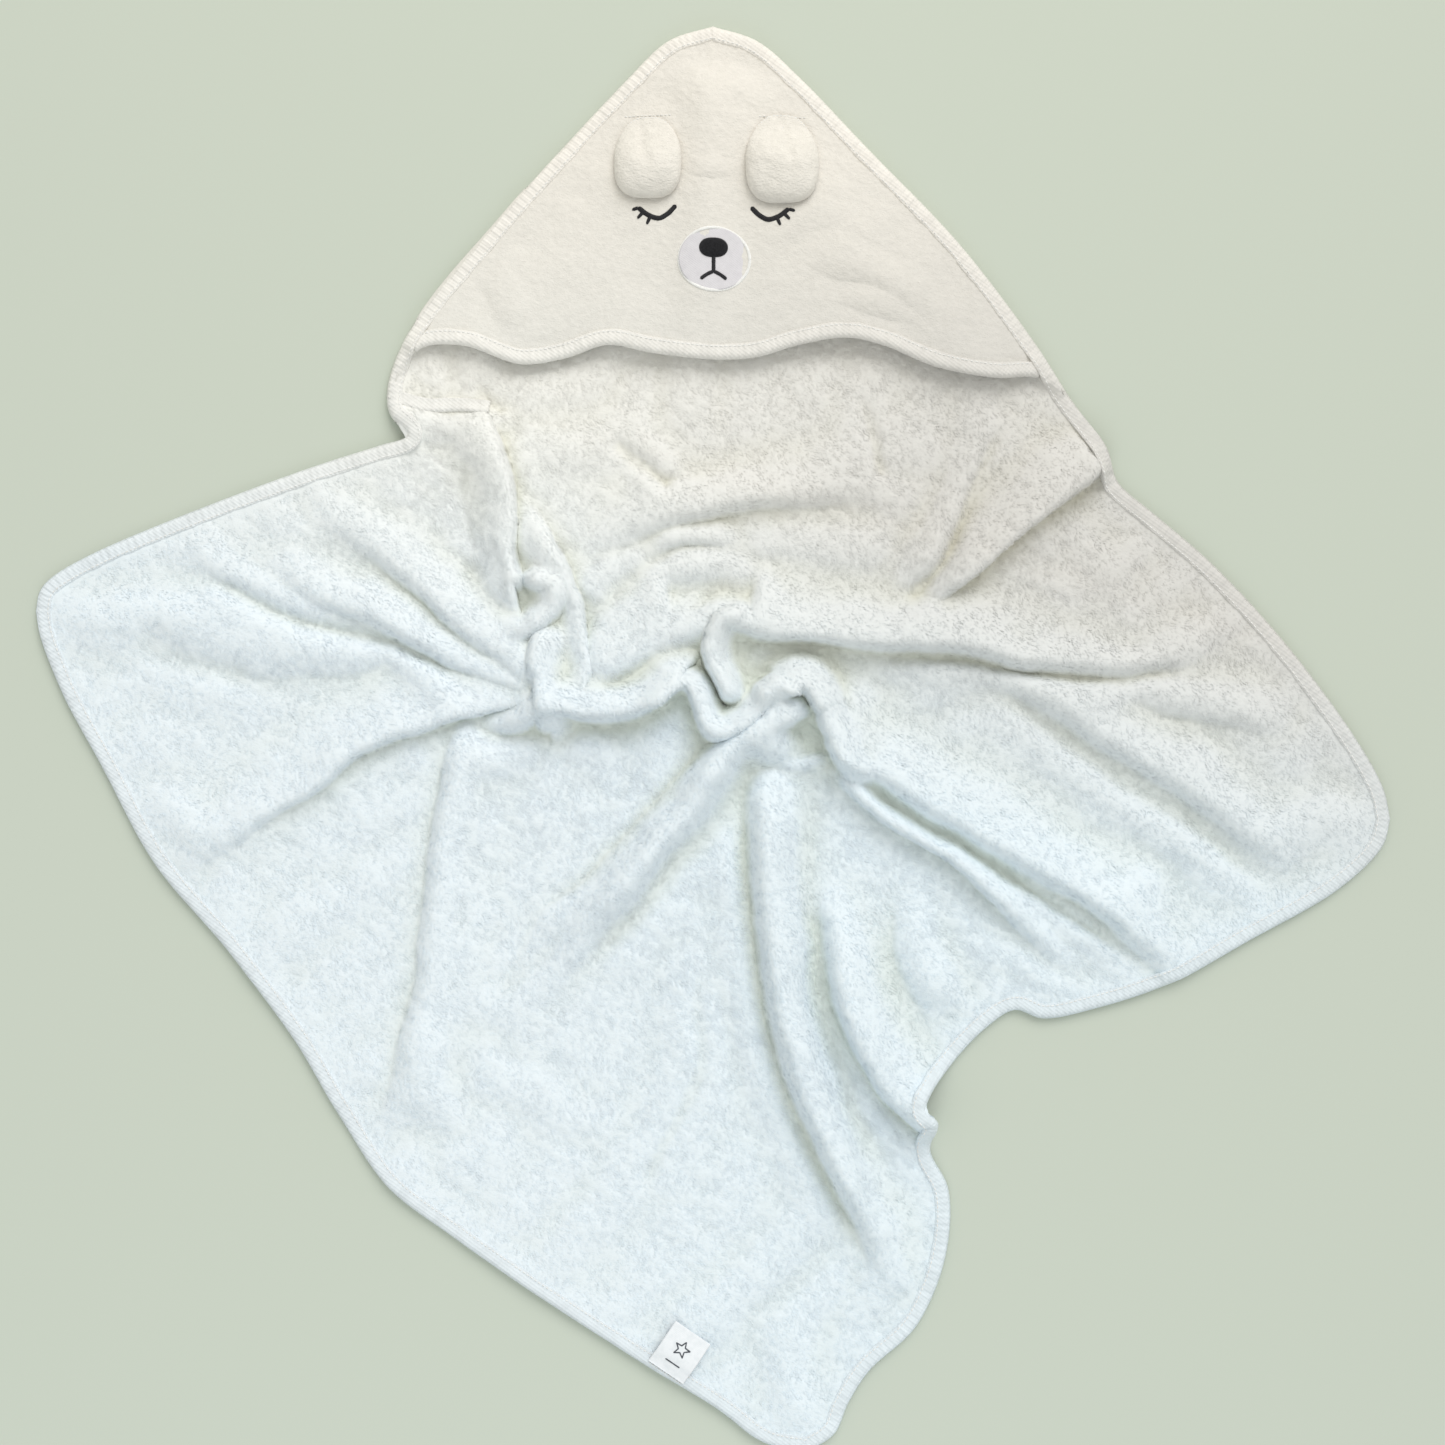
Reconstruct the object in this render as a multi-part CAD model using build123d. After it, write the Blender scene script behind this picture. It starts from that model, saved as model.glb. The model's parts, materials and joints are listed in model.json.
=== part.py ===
"""A hooded baby towel, laid out on a flat surface with its hood corner towards +Y.

Units are millimetres. The origin is the middle of the laid towel's outline, on the surface it lies on.
"""

from build123d import *
from math import atan2, cos, degrees, pi, radians, sin
import os

os.makedirs("parts", exist_ok=True)

# A length greater than the whole towel, for cutting
beyond = 2000.0

# Cloth and tape
terry_thickness = 4.0
tape_thickness = 0.8
binding_width = 10.0
edge_play = 0.2
head_line = 225.0
underside = tape_thickness + edge_play
towel_top = underside + terry_thickness
binding_height = towel_top + edge_play + tape_thickness
thread_height = 0.4
thread_width = 0.8
topstitch_inset = 8.2

# Hood
panel_thickness = 3.0
pocket_height = 9.0
seam_run = 30.0
body_clearance = 0.3
front_stitch_inset = 7.5

# Face
face_height = 0.6
eye_span = 27.0
eye_sag = 9.0
eye_ends = {"left": (-53.0, 378.0), "right": (54.0, 377.0)}
lash_spacing = 4.5
lash_run = (4.0, 6.0)
patch_thickness = 0.8
patch_radii = (25.0, 22.0)
patch_centre = (1.0, 338.0)
border_width = 1.6
nose_radii = (9.3, 7.4)
nose_centre = (0.5, 346.0)
mouth_stem = 17.0
mouth_arm = (9.5, 5.0)
stroke_width = 3.0
thread_gap = 0.05
backing_thickness = 0.4
backing_size = (124.0, 84.0)
backing_corner = 20.0
backing_rise = 14.0

# Ears
ear_radii = (23.0, 28.0)
ear_loft = 14.0
leaf_thickness = 2.0
ear_centres = {"left": (-46.0, 410.0), "right": (49.0, 409.0)}
ear_root_gap = 3.0
ear_root_width = 34.0
ear_seam_size = 0.8

# Side label
label_width = 30.0
label_length = 34.0
label_thickness = 0.8
label_lift = 0.3
motif_height = 0.2
label_share = 0.29
motif_radius = 6.0
motif_points = 5
motif_waist = 0.42
motif_place = 0.6
bar_place = 0.25
bar_size = (12.0, 1.0)

# The outline of the laid towel, clockwise from the hood's tip: corner x, corner y, corner radius.
outline_corners = [
    (0, 534, 62),
    (170, 356, 200),
    (282, 197, 4),
    (277, 188, 2),
    (344, 135, 150),
    (412, 60, 200),
    (508, -68, 58),
    (341, -167, 200),
    (234, -201, 8),
    (214, -190, 8),
    (194, -204, 30),
    (148, -260, 5),
    (160, -272, 5),
    (153, -295, 8),
    (168, -319, 15),
    (162, -387, 80),
    (98, -465, 20),
    (90, -506, 20),
    (40, -506, 30),
    (-223, -327, 90),
    (-273, -252, 200),
    (-384, -101, 150),
    (-500, 107, 48),
    (-215, 215, 4),
    (-232, 240, 5),
    (-222, 283, 40),
]

# The hood's outer corners: its two side seams, carried on past the front edge.
hood_corners = [
    (0, 534, 62),
    (170, 356, 200),
    (338, 118, 0),
    (-252, 154, 0),
    (-222, 283, 40),
]

# The hood's open front edge, from the left seam to the right one.
front_edge = [
    (-250, 255),
    (-202, 278),
    (-137, 262),
    (-73, 276),
    (2, 269),
    (98, 282),
    (148, 272),
    (237, 250),
    (300, 236),
]

# The raised folds of the laid cloth: start x, start y, end x, end y, height, half width.
folds = [
    (-150, 32, 85, 35, 24, 30),
    (20, 92, 320, 68, 20, 26),
    (-130, 40, -270, 150, 12, 24),
    (-130, 35, -390, 84, 14, 26),
    (-145, 200, -137, 85, 14, 18),
    (-152, 26, -330, -45, 12, 24),
    (-177, 12, -195, -250, 9, 24),
    (20, 5, -123, -160, 15, 28),
    (45, -18, 115, -325, 14, 22),
    (100, -5, 285, -130, 16, 26),
    (205, 40, 370, -60, 9, 24),
    (-80, 155, 98, 176, 8, 22),
]


def slab(area, low, high):
    """A flat area raised from one height to another."""
    return Pos(0, 0, low) * extrude(area, amount=high - low, dir=(0, 0, 1))


def fold_roll(start, end, height, half_width):
    """A round-ended roll lying in the cloth, of which a low rounded back stands proud."""
    run = end - start
    radius = (half_width**2 + height**2) / (2 * height)
    middle = (start + end) / 2
    turn = degrees(atan2(run.Y, run.X))
    place = Pos(middle.X, middle.Y, towel_top + height - radius) * Rot(0, 0, turn)
    roll = Rot(0, 90, 0) * Cylinder(radius, run.length)
    roll += Pos(run.length / 2) * Sphere(radius)
    roll += Pos(-run.length / 2) * Sphere(radius)
    above = Pos(0, 0, underside + radius) * Box(beyond, beyond, 2 * radius)
    return (place * roll) & above


def inset_corners(corners, distance):
    """The same corners with every side moved inwards by a distance; the corners run clockwise."""
    points = [Vector(x, y) for x, y, _ in corners]
    moved = []
    for index, point in enumerate(points):
        before = (point - points[index - 1]).normalized()
        after = (points[(index + 1) % len(points)] - point).normalized()
        inward = Vector(before.Y + after.Y, -before.X - after.X).normalized()
        reach = distance / (inward.X * before.Y - inward.Y * before.X)
        radius = max(0, corners[index][2] - distance)
        moved.append((point.X + inward.X * reach, point.Y + inward.Y * reach, radius))
    return moved


def rounded_wire(corners, level=0):
    """A closed line through rounded corners, at a height."""
    points = [(x, y, level) for x, y, _ in corners]
    return Wire(FilletPolyline(*points, radius=[r for _, _, r in corners], close=True).edges())


def save(name, shape):
    """Writes one sub-part as its own file."""
    solids = shape.solids()
    part = solids[0] if len(solids) == 1 else Compound(children=list(solids))
    part.label = name
    export_step(part, f"parts/{name}.step")


# The flat outline and its insets
outline_wire = rounded_wire(outline_corners)
outline = Face(outline_wire)


def inset(distance):
    """The outline moved inwards."""
    return Face(outline_wire.offset_2d(-distance))


# Towel cloth: the corner under the hood, and the folded body below it
cloth = slab(inset(tape_thickness + edge_play), underside, towel_top)
for start_x, start_y, end_x, end_y, height, half_width in folds:
    cloth += fold_roll(Vector(start_x, start_y), Vector(end_x, end_y), height, half_width)
head_side = Pos(0, head_line + beyond / 2) * Box(beyond, beyond, beyond)
towel_head_corner = cloth & head_side
towel_body = cloth - head_side

# The folded tape round the towel, and its row of thread
tape_ring = slab(outline, 0, binding_height) - slab(inset(binding_width), 0, binding_height)
tape_slot = slab(inset(tape_thickness), tape_thickness, binding_height - tape_thickness)
edge_binding = tape_ring - tape_slot
stitch_ring = inset(topstitch_inset) - inset(topstitch_inset + thread_width)
edge_topstitch = slab(stitch_ring, binding_height, binding_height + thread_height)

# Hood: panel, front tape and its row of thread
tape_fold = tape_thickness + edge_play
panel_under = towel_top + body_clearance + tape_fold
seam_corners = inset_corners(hood_corners, binding_width + body_clearance)
level_corners = inset_corners(seam_corners, seam_run)
front_curve = Spline(*front_edge)


def above_front(offset):
    """The area on the hood's side of its front edge, moved offset into the hood."""
    shifted = Pos(0, offset) * front_curve
    start, end = shifted @ 0, shifted @ 1
    back = Polyline(end, (end.X, beyond), (start.X, beyond), start)
    return make_face(Wire([*shifted.edges(), *back.edges()]))


def hood_layer(low, high, area):
    """A layer of the hood between two heights above its underside, cut to a flat area.

    It rises from the side seams to the level middle that stands over the towel.
    """
    bottom, top = panel_under + low, panel_under + high
    foot = slab(Face(rounded_wire(seam_corners)), bottom, top)
    outer = foot + hood_mound(top)
    return (outer - hood_mound(bottom)) & slab(area, 0, beyond)


def hood_mound(level):
    """The solid under the hood's sloping sides and level middle, from a height up."""
    low_ring = rounded_wire(seam_corners, level)
    high_ring = rounded_wire(level_corners, level + pocket_height)
    return loft([Face(low_ring), Face(high_ring)], ruled=True)


panel_area = above_front(tape_fold)
tape_area = above_front(0) - above_front(binding_width)
stitch_area = above_front(front_stitch_inset) - above_front(front_stitch_inset + thread_width)
hood_panel = hood_layer(0, panel_thickness, panel_area)
tape_top = panel_thickness + tape_fold
hood_front_binding = hood_layer(-tape_fold, tape_top, tape_area) - hood_layer(
    -edge_play, panel_thickness + edge_play, above_front(tape_thickness)
)
hood_front_topstitch = hood_layer(tape_top, tape_top + thread_height, stitch_area)

# Face, on the level middle of the hood
face_level = panel_under + pocket_height + panel_thickness
lining_level = face_level - panel_thickness


def at(centre):
    return Pos(centre[0], centre[1])


def eye(outer, side):
    """A closed eye: an arc that sags towards the chin, with three lashes at its outer end."""
    inner = (outer[0] + side * eye_span, outer[1])
    low = (outer[0] + side * eye_span / 2, outer[1] - eye_sag)
    lid = ThreePointArc(outer, low, inner)
    strokes = trace(lid, stroke_width)
    for lash in range(3):
        root = lid @ (lash * lash_spacing / lid.length)
        ending = (root.X - side * lash_run[0], root.Y - lash_run[1])
        strokes += trace(Line(root, ending), stroke_width)
    return slab(strokes, face_level, face_level + face_height)


left_eye_embroidery = eye(eye_ends["left"], 1)
right_eye_embroidery = eye(eye_ends["right"], -1)
patch_area = at(patch_centre) * Ellipse(*patch_radii)
border_area = (
    at(patch_centre) * Ellipse(patch_radii[0] + border_width, patch_radii[1] + border_width)
    - patch_area
)
muzzle_patch = slab(patch_area, face_level, face_level + patch_thickness)
muzzle_border_stitch = slab(border_area, face_level, face_level + patch_thickness + thread_height)
muzzle_level = face_level + patch_thickness
nose_area = at(nose_centre) * Ellipse(*nose_radii)
nose_embroidery = slab(nose_area, muzzle_level, muzzle_level + face_height)
mouth_fork = (nose_centre[0], nose_centre[1] - mouth_stem)
mouth_area = trace(Line(nose_centre, mouth_fork), stroke_width)
for side in (-1, 1):
    corner = (mouth_fork[0] + side * mouth_arm[0], mouth_fork[1] - mouth_arm[1])
    mouth_area += trace(Line(mouth_fork, corner), stroke_width)
mouth_area -= at(nose_centre) * Ellipse(nose_radii[0] + thread_gap, nose_radii[1] + thread_gap)
mouth_embroidery = slab(mouth_area, muzzle_level, muzzle_level + face_height)
backing_centre = (patch_centre[0], patch_centre[1] + backing_rise)
backing_area = at(backing_centre) * RectangleRounded(*backing_size, backing_corner)
face_backing = slab(backing_area, lining_level - backing_thickness, lining_level)

# Ears: two sewn leaves with filling, hinged on the row that sews them to the hood
ear_level = face_level + body_clearance


def half_dome(radius_x, radius_y, radius_z):
    """The upper half of an ellipsoid."""
    dome = scale(Sphere(1), by=(radius_x, radius_y, radius_z))
    keep = Pos(0, 0, radius_z) * Box(3 * radius_x, 3 * radius_y, 2 * radius_z)
    return dome & keep


def ear_pieces(centre):
    """The four pieces of one ear, lying flat on the hood."""
    width, length = ear_radii
    place = Pos(centre[0], centre[1], ear_level + leaf_thickness)
    hollow = (width - leaf_thickness, length - leaf_thickness, ear_loft - leaf_thickness)
    back = slab(at(centre) * Ellipse(width, length), ear_level, ear_level + leaf_thickness)
    front = place * (half_dome(width, length, ear_loft) - half_dome(*hollow))
    filling = place * half_dome(*hollow)
    cord_outer = Ellipse(width + ear_seam_size, length + ear_seam_size)
    cord_ring = at(centre) * (cord_outer - Ellipse(width, length))
    middle = ear_level + leaf_thickness
    seam = slab(cord_ring, middle - ear_seam_size / 2, middle + ear_seam_size / 2)
    return {"front": front, "back": back, "filling": filling, "seam": seam}


ears = {}
for side_name, ear_centre in ear_centres.items():
    for piece_name, piece in ear_pieces(ear_centre).items():
        ears[f"{side_name}_ear_{piece_name}"] = piece
    root_y = ear_centre[1] + ear_radii[1] + ear_root_gap
    root_area = Pos(ear_centre[0], root_y) * Rectangle(ear_root_width, thread_width)
    ears[f"{side_name}_ear_base_stitch"] = hood_layer(
        panel_thickness, panel_thickness + thread_height, root_area
    )

# Side label, sewn into the tape on the lower left edge
hem_start, hem_end = [Vector(x, y) for x, y, _ in outline_corners[18:20]]
hem_run = hem_end - hem_start
hem_angle = degrees(atan2(-hem_run.Y, -hem_run.X))
hem_inward = Vector(-sin(radians(hem_angle)), cos(radians(hem_angle)))
label_root = hem_start + hem_run * label_share + hem_inward * (binding_width / 2)
label_level = binding_height + thread_height + label_lift
label_frame = Pos(label_root.X, label_root.Y) * Rot(0, 0, hem_angle)
label_area = Pos(0, label_length / 2) * Rectangle(label_width, label_length)
side_label = label_frame * slab(label_area, label_level, label_level + label_thickness)
star_points = []
for point in range(2 * motif_points):
    reach = motif_radius * (1 if point % 2 == 0 else motif_waist)
    turn = pi / 2 + point * pi / motif_points
    star_points.append((reach * cos(turn), reach * sin(turn)))
motif_area = Pos(0, label_length * motif_place) * make_face(Polyline(*star_points, close=True))
motif_area += Pos(0, label_length * bar_place) * Rectangle(*bar_size)
motif_level = label_level + label_thickness
label_motif = label_frame * slab(motif_area, motif_level, motif_level + motif_height)
tack_area = Pos(0, -thread_width) * Rectangle(label_width, thread_width)
label_tack_stitch = label_frame * slab(tack_area, binding_height, binding_height + thread_height)

nodes = {
    "towel_body": towel_body,
    "towel_head_corner": towel_head_corner,
    "edge_binding": edge_binding,
    "edge_topstitch": edge_topstitch,
    "label_tack_stitch": label_tack_stitch,
    "hood_panel": hood_panel,
    "hood_front_binding": hood_front_binding,
    "hood_front_topstitch": hood_front_topstitch,
    "face_backing": face_backing,
    "left_eye_embroidery": left_eye_embroidery,
    "right_eye_embroidery": right_eye_embroidery,
    "muzzle_patch": muzzle_patch,
    "muzzle_border_stitch": muzzle_border_stitch,
    "nose_embroidery": nose_embroidery,
    "mouth_embroidery": mouth_embroidery,
    **ears,
    "side_label": side_label,
    "label_motif": label_motif,
}
box = edge_binding.bounding_box()
centring = Pos(-box.center().X, -box.center().Y)
for node_name, node in nodes.items():
    save(node_name, centring * node)
print("origin moved by", [round(-value, 3) for value in (box.center().X, box.center().Y)])
print("label hinge", [round(value, 3) for value in label_root], "turned", round(hem_angle, 3))
print("label hinge height", motif_level, "face level", face_level, "hood hinge height", panel_under)
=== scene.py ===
"""Looks of a hooded baby towel laid in folds: terry, bias tape, stitching, stuffed ears and embroidered face.

Everything is in metres, in the frame of the CAD model: +Z up, +Y towards the hood's tip, and the
origin in the middle of the laid towel, on the floor.
"""

import json

import bpy
import numpy as np
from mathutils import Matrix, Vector
from mathutils.bvhtree import BVHTree


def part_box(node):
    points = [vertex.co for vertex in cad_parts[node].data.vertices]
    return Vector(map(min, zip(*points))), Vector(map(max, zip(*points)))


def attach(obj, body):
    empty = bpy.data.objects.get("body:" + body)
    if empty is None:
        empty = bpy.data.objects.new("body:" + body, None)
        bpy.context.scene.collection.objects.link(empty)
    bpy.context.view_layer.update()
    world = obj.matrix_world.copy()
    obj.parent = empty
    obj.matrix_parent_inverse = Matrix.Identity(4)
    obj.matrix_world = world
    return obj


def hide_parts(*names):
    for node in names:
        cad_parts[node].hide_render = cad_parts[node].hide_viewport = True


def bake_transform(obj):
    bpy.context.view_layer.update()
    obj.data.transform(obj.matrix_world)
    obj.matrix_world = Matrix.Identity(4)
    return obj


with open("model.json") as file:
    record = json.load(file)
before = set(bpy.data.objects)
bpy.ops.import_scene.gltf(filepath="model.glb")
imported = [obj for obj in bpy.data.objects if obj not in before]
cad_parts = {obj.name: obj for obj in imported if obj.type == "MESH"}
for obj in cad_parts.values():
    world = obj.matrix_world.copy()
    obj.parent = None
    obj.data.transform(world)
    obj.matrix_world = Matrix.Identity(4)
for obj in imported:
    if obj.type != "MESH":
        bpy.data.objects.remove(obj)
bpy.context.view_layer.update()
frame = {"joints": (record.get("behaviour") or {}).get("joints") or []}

MM = 0.001
SEED = 7

# ---------------------------------------------------------------- sizes of the cloth, tape and thread
TERRY = 3.6 * MM
HOOD_TERRY = 2.6 * MM
TAPE_WIDTH = 10.0 * MM
TAPE = 0.9 * MM
STITCH_INSET = 8.3 * MM
STITCH_PITCH = 3.3 * MM
STITCH_LENGTH = 2.5 * MM
STITCH_RADIUS = 0.38 * MM
GRID = 401
HOOD_GRID = (261, 221)
LOFT = 8.0 * MM
EDGE_HEIGHT = 2.6 * MM

# How the cloth settles when it is laid
SETTLE_STEP = 5
SETTLE_FRAMES = 30
SETTLE_CAP = 12 * MM
HELD_EDGE = 2 * MM
HELD_FADE = 26 * MM
CLOTH_SETTINGS = {
    "quality": 6,
    "mass": 0.15,
    "tension_stiffness": 20,
    "compression_stiffness": 20,
    "shear_stiffness": 8,
    "bending_stiffness": 12,
    "air_damping": 3,
    "vertex_group_mass": "held",
    "shrink_min": -0.012,
}

# ---------------------------------------------------------------- the towel's four laid sides
TIP = (-0.001, 0.506)
RIGHT = (0.480, -0.057)
LEFT = (-0.482, 0.091)
FOOT = (0.066, -0.506)
HOOD_RIGHT = (0.250, 0.246)
HOOD_LEFT = (-0.232, 0.241)

TIP_TO_RIGHT = [
    TIP, (0.031, 0.495), (0.062, 0.468), (0.117, 0.411), (0.172, 0.354), (0.229, 0.279), HOOD_RIGHT,
    (0.275, 0.211), (0.280, 0.200), (0.287, 0.182), (0.311, 0.161), (0.354, 0.124), (0.409, 0.064),
    (0.457, -0.002), (0.475, -0.035), RIGHT,
]
RIGHT_TO_FOOT = [
    RIGHT, (0.475, -0.076), (0.446, -0.105), (0.380, -0.143), (0.327, -0.172), (0.271, -0.191),
    (0.234, -0.198), (0.214, -0.192), (0.193, -0.205), (0.169, -0.230), (0.148, -0.259),
    (0.157, -0.271), (0.153, -0.293), (0.166, -0.321), (0.164, -0.368), (0.143, -0.418),
    (0.110, -0.449), (0.095, -0.472), (0.085, -0.494), FOOT,
]
LEFT_TO_FOOT = [
    LEFT, (-0.479, 0.074), (-0.464, 0.034), (-0.436, -0.018), (-0.398, -0.088), (-0.345, -0.151),
    (-0.297, -0.216), (-0.267, -0.267), (-0.232, -0.318), (-0.184, -0.355), (-0.117, -0.401),
    (-0.050, -0.444), (0.001, -0.475), (0.036, -0.500), FOOT,
]
TIP_TO_LEFT = [
    TIP, (-0.032, 0.496), (-0.062, 0.468), (-0.118, 0.408), (-0.172, 0.346), (-0.210, 0.299),
    (-0.228, 0.264), HOOD_LEFT, (-0.229, 0.230), (-0.217, 0.216), (-0.239, 0.208), (-0.277, 0.196),
    (-0.367, 0.163), (-0.443, 0.131), (-0.469, 0.116), (-0.479, 0.105), LEFT,
]
HOOD_FRONT = [
    HOOD_LEFT, (-0.222, 0.264), (-0.206, 0.278), (-0.178, 0.279), (-0.137, 0.266), (-0.106, 0.270),
    (-0.075, 0.279), (-0.046, 0.274), (-0.002, 0.269), (0.031, 0.271), (0.059, 0.279),
    (0.093, 0.284), (0.118, 0.279), (0.159, 0.263), (0.199, 0.256), (0.228, 0.257), HOOD_RIGHT,
]

# The towel's bound edge where it turns in under the neck fold
HEM_TUCK = [(-0.224, 0.238), (-0.205, 0.233), (-0.181, 0.233), (-0.160, 0.231)]

# ---------------------------------------------------------------- the folds of the cloth
# Each fold: its crest line, height, width of its steep side, width of its gentle side, the way its
# steep side faces, how far its crest leans over that side, and the shares of its length over which
# it rises at its start and dies away at its end. Lengths are in millimetres.
FOLDS = {
    "left wing upper roll": (
        [(-277, 174), (-236, 139), (-201, 109), (-168, 81), (-128, 55)],
        17, 14, 32, (-1, -1), 4, (0.7, 0),
    ),
    "left wing second roll": (
        [(-340, 150), (-264, 104), (-222, 84), (-182, 62), (-136, 46)],
        13, 12, 26, (-1, -1), 3, (0.7, 0),
    ),
    "left wing swell": (
        [(-441, 104), (-386, 79), (-331, 65), (-264, 64), (-210, 51)],
        4.5, 20, 40, (0, -1), 0, (0.5, 0.3),
    ),
    "left wing ledge": (
        [(-140, 32), (-187, 18), (-222, 7), (-261, -10), (-304, -38), (-384, -90)],
        14, 8, 62, (0.3, -1), 4, (0, 0.5),
    ),
    "neck fold": (
        [(-166, 238), (-154, 200), (-145, 160), (-143, 130), (-141, 112)],
        17, 7, 42, (1, 0), 3, (0.1, 0),
    ),
    "neck curl": (
        [(-133, 120), (-119, 110), (-121, 92), (-134, 81), (-150, 85), (-158, 102)],
        21, 10, 14, (1, -1), 2, (0.1, 0.5),
    ),
    "wedge pleat": (
        [(-140, 178), (-123, 146), (-107, 112), (-96, 78), (-92, 50)],
        15, 7, 26, (1, 0.3), 3, (0.4, 0),
    ),
    "left knot": ([(-116, 90), (-119, 62), (-119, 40), (-116, 15)], 25, 14, 24, (-1, 0), 3, (0.3, 0)),
    "belt left": (
        [(-172, 14), (-145, 14), (-118, 22), (-90, 19), (-66, 17), (-45, 26), (-30, 38)],
        27, 12, 40, (0, -1), 6, (0.35, 0),
    ),
    "belt tongue": (
        [(-45, 28), (-28, 39), (-14, 34), (-6, 14), (2, 3), (14, 8), (34, 26), (50, 36)],
        27, 11, 15, (-0.6, -1), 5, (0, 0),
    ),
    "belt right": (
        [(36, 28), (52, 39), (66, 38), (78, 24), (88, 2), (104, -18), (122, -30)],
        29, 11, 20, (-1, -0.6), 5, (0, 0.25),
    ),
    "upright roll": ([(32, 92), (14, 88), (4, 70), (5, 50), (12, 30)], 26, 10, 16, (-1, 0), 3, (0.15, 0)),
    "long roll": (
        [(18, 86), (61, 80), (118, 76), (168, 74), (204, 66), (247, 55), (318, 59), (372, 92)],
        19, 13, 48, (0, -1), 4, (0, 0.55),
    ),
    "right ridge": (
        [(92, 0), (133, -23), (168, -43), (224, -77), (266, -105), (345, -170)],
        19, 14, 50, (-1, -1), 5, (0, 0.3),
    ),
    "right narrow ridge": (
        [(94, -23), (131, -52), (165, -73), (197, -97), (222, -124), (256, -170)],
        14, 8, 11, (-1, -1), 3, (0.1, 0.5),
    ),
    "right wing ridge": (
        [(196, 52), (255, 24), (295, -3), (337, -32), (375, -56), (418, -96)],
        11, 15, 44, (-1, -1), 2, (0.35, 0.35),
    ),
    "right wing soft ridge": (
        [(283, 35), (337, 28), (379, 23), (418, 12)],
        6, 14, 26, (0, -1), 0, (0.4, 0.4),
    ),
    "hood end ledge": (
        [(274, 198), (237, 171), (204, 144), (172, 114), (143, 91)],
        18, 7, 46, (1, -1), 5, (0.05, 0.3),
    ),
    "hood end ridge": (
        [(202, 222), (181, 177), (164, 143), (145, 114), (128, 95)],
        10, 8, 30, (1, 0), 1, (0.5, 0.3),
    ),
    "back ridge": (
        [(-90, 148), (-46, 161), (-10, 169), (47, 178), (105, 188)],
        11, 13, 38, (0, -1), 1, (0.4, 0.4),
    ),
    "back pucker": ([(-52, 136), (-24, 147), (4, 146), (20, 136)], 9, 9, 14, (0, -1), 2, (0.4, 0.3)),
    "back swell": (
        [(25, 134), (-19, 114), (-55, 82), (-83, 50), (-111, 26)],
        15, 26, 30, (1, -1), 1, (0.3, 0),
    ),
    "waist swell": ([(-74, 56), (-39, 71), (-10, 79), (10, 85)], 16, 24, 26, (0, 1), 0, (0, 0)),
    "skirt left ledge": (
        [(-172, 6), (-180, -38), (-187, -85), (-203, -179), (-224, -280)],
        11, 15, 70, (-1, 0), 0, (0.1, 0.25),
    ),
    "skirt diagonal": (
        [(46, 16), (11, -18), (-27, -59), (-67, -99), (-107, -140), (-150, -190)],
        25, 17, 30, (-1, 1), 0, (0, 0.5),
    ),
    "skirt main ridge": (
        [(44, -22), (36, -70), (38, -114), (46, -183), (64, -251), (85, -298), (111, -345), (130, -377)],
        20, 14, 38, (-1, 0), 1, (0.15, 0.25),
    ),
    "skirt second ridge": (
        [(92, -104), (90, -150), (98, -200), (122, -240), (158, -272)],
        22, 11, 42, (-1, -0.5), 3, (0.45, 0.05),
    ),
    "skirt side ridge": ([(136, -105), (150, -158), (168, -203)], 9, 16, 26, (-1, 0), 0, (0.4, 0.3)),
    "tucked hem": ([(-226, 232), (-196, 226), (-172, 227), (-155, 230)], 8, 5, 20, (0, 1), 0, (0.1, 0)),
}

# Each hollow: its line, how much of the cloth's height it takes away, and its half width in millimetres.
HOLLOWS = {
    "left wing dip": ([(-416, 81), (-381, 57), (-331, 41)], 0.4, 16),
    "left wing long dip": ([(-367, 120), (-304, 87), (-264, 76), (-222, 66), (-185, 48)], 0.65, 9),
    "cave under the belt": ([(61, 14), (68, 0), (72, -16)], 0.97, 19),
    "groove between ridges": ([(98, -23), (139, -52), (182, -76), (218, -101), (295, -155)], 0.8, 5),
    "right wing groove": ([(187, 42), (238, 8), (272, -18), (305, -42), (337, -59), (395, -106)], 0.65, 12),
    "under the long roll": ([(118, 56), (173, 56), (224, 49), (266, 44), (308, 46), (337, 54)], 0.7, 8),
    "hood end groove": ([(205, 226), (183, 180), (168, 142), (154, 119), (136, 96)], 0.5, 8),
    "skirt soft dip": ([(-12, -22), (-54, -67), (-91, -113), (-125, -158), (-157, -195)], 0.5, 18),
    "skirt pale dip": ([(36, -4), (15, -43), (-17, -79), (-53, -126), (-89, -163)], 0.5, 16),
    "skirt main groove": (
        [(24, -33), (20, -70), (22, -114), (29, -183), (46, -251), (67, -298), (94, -345), (116, -380)],
        0.85, 11,
    ),
    "skirt second groove": (
        [(76, -110), (73, -160), (77, -192), (92, -232), (117, -282), (146, -310)],
        0.97, 14,
    ),
    "skirt faint line": ([(-12, -157), (-14, -196), (-12, -236), (-43, -300), (-54, -326)], 0.4, 9),
    "back crease": ([(-73, 216), (-49, 197), (-26, 181)], 0.6, 8),
    "back side crease": ([(103, 252), (112, 221), (119, 186)], 0.5, 7),
    "waist dip": ([(-40, 105), (-8, 108), (36, 104)], 0.5, 16),
}

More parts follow.
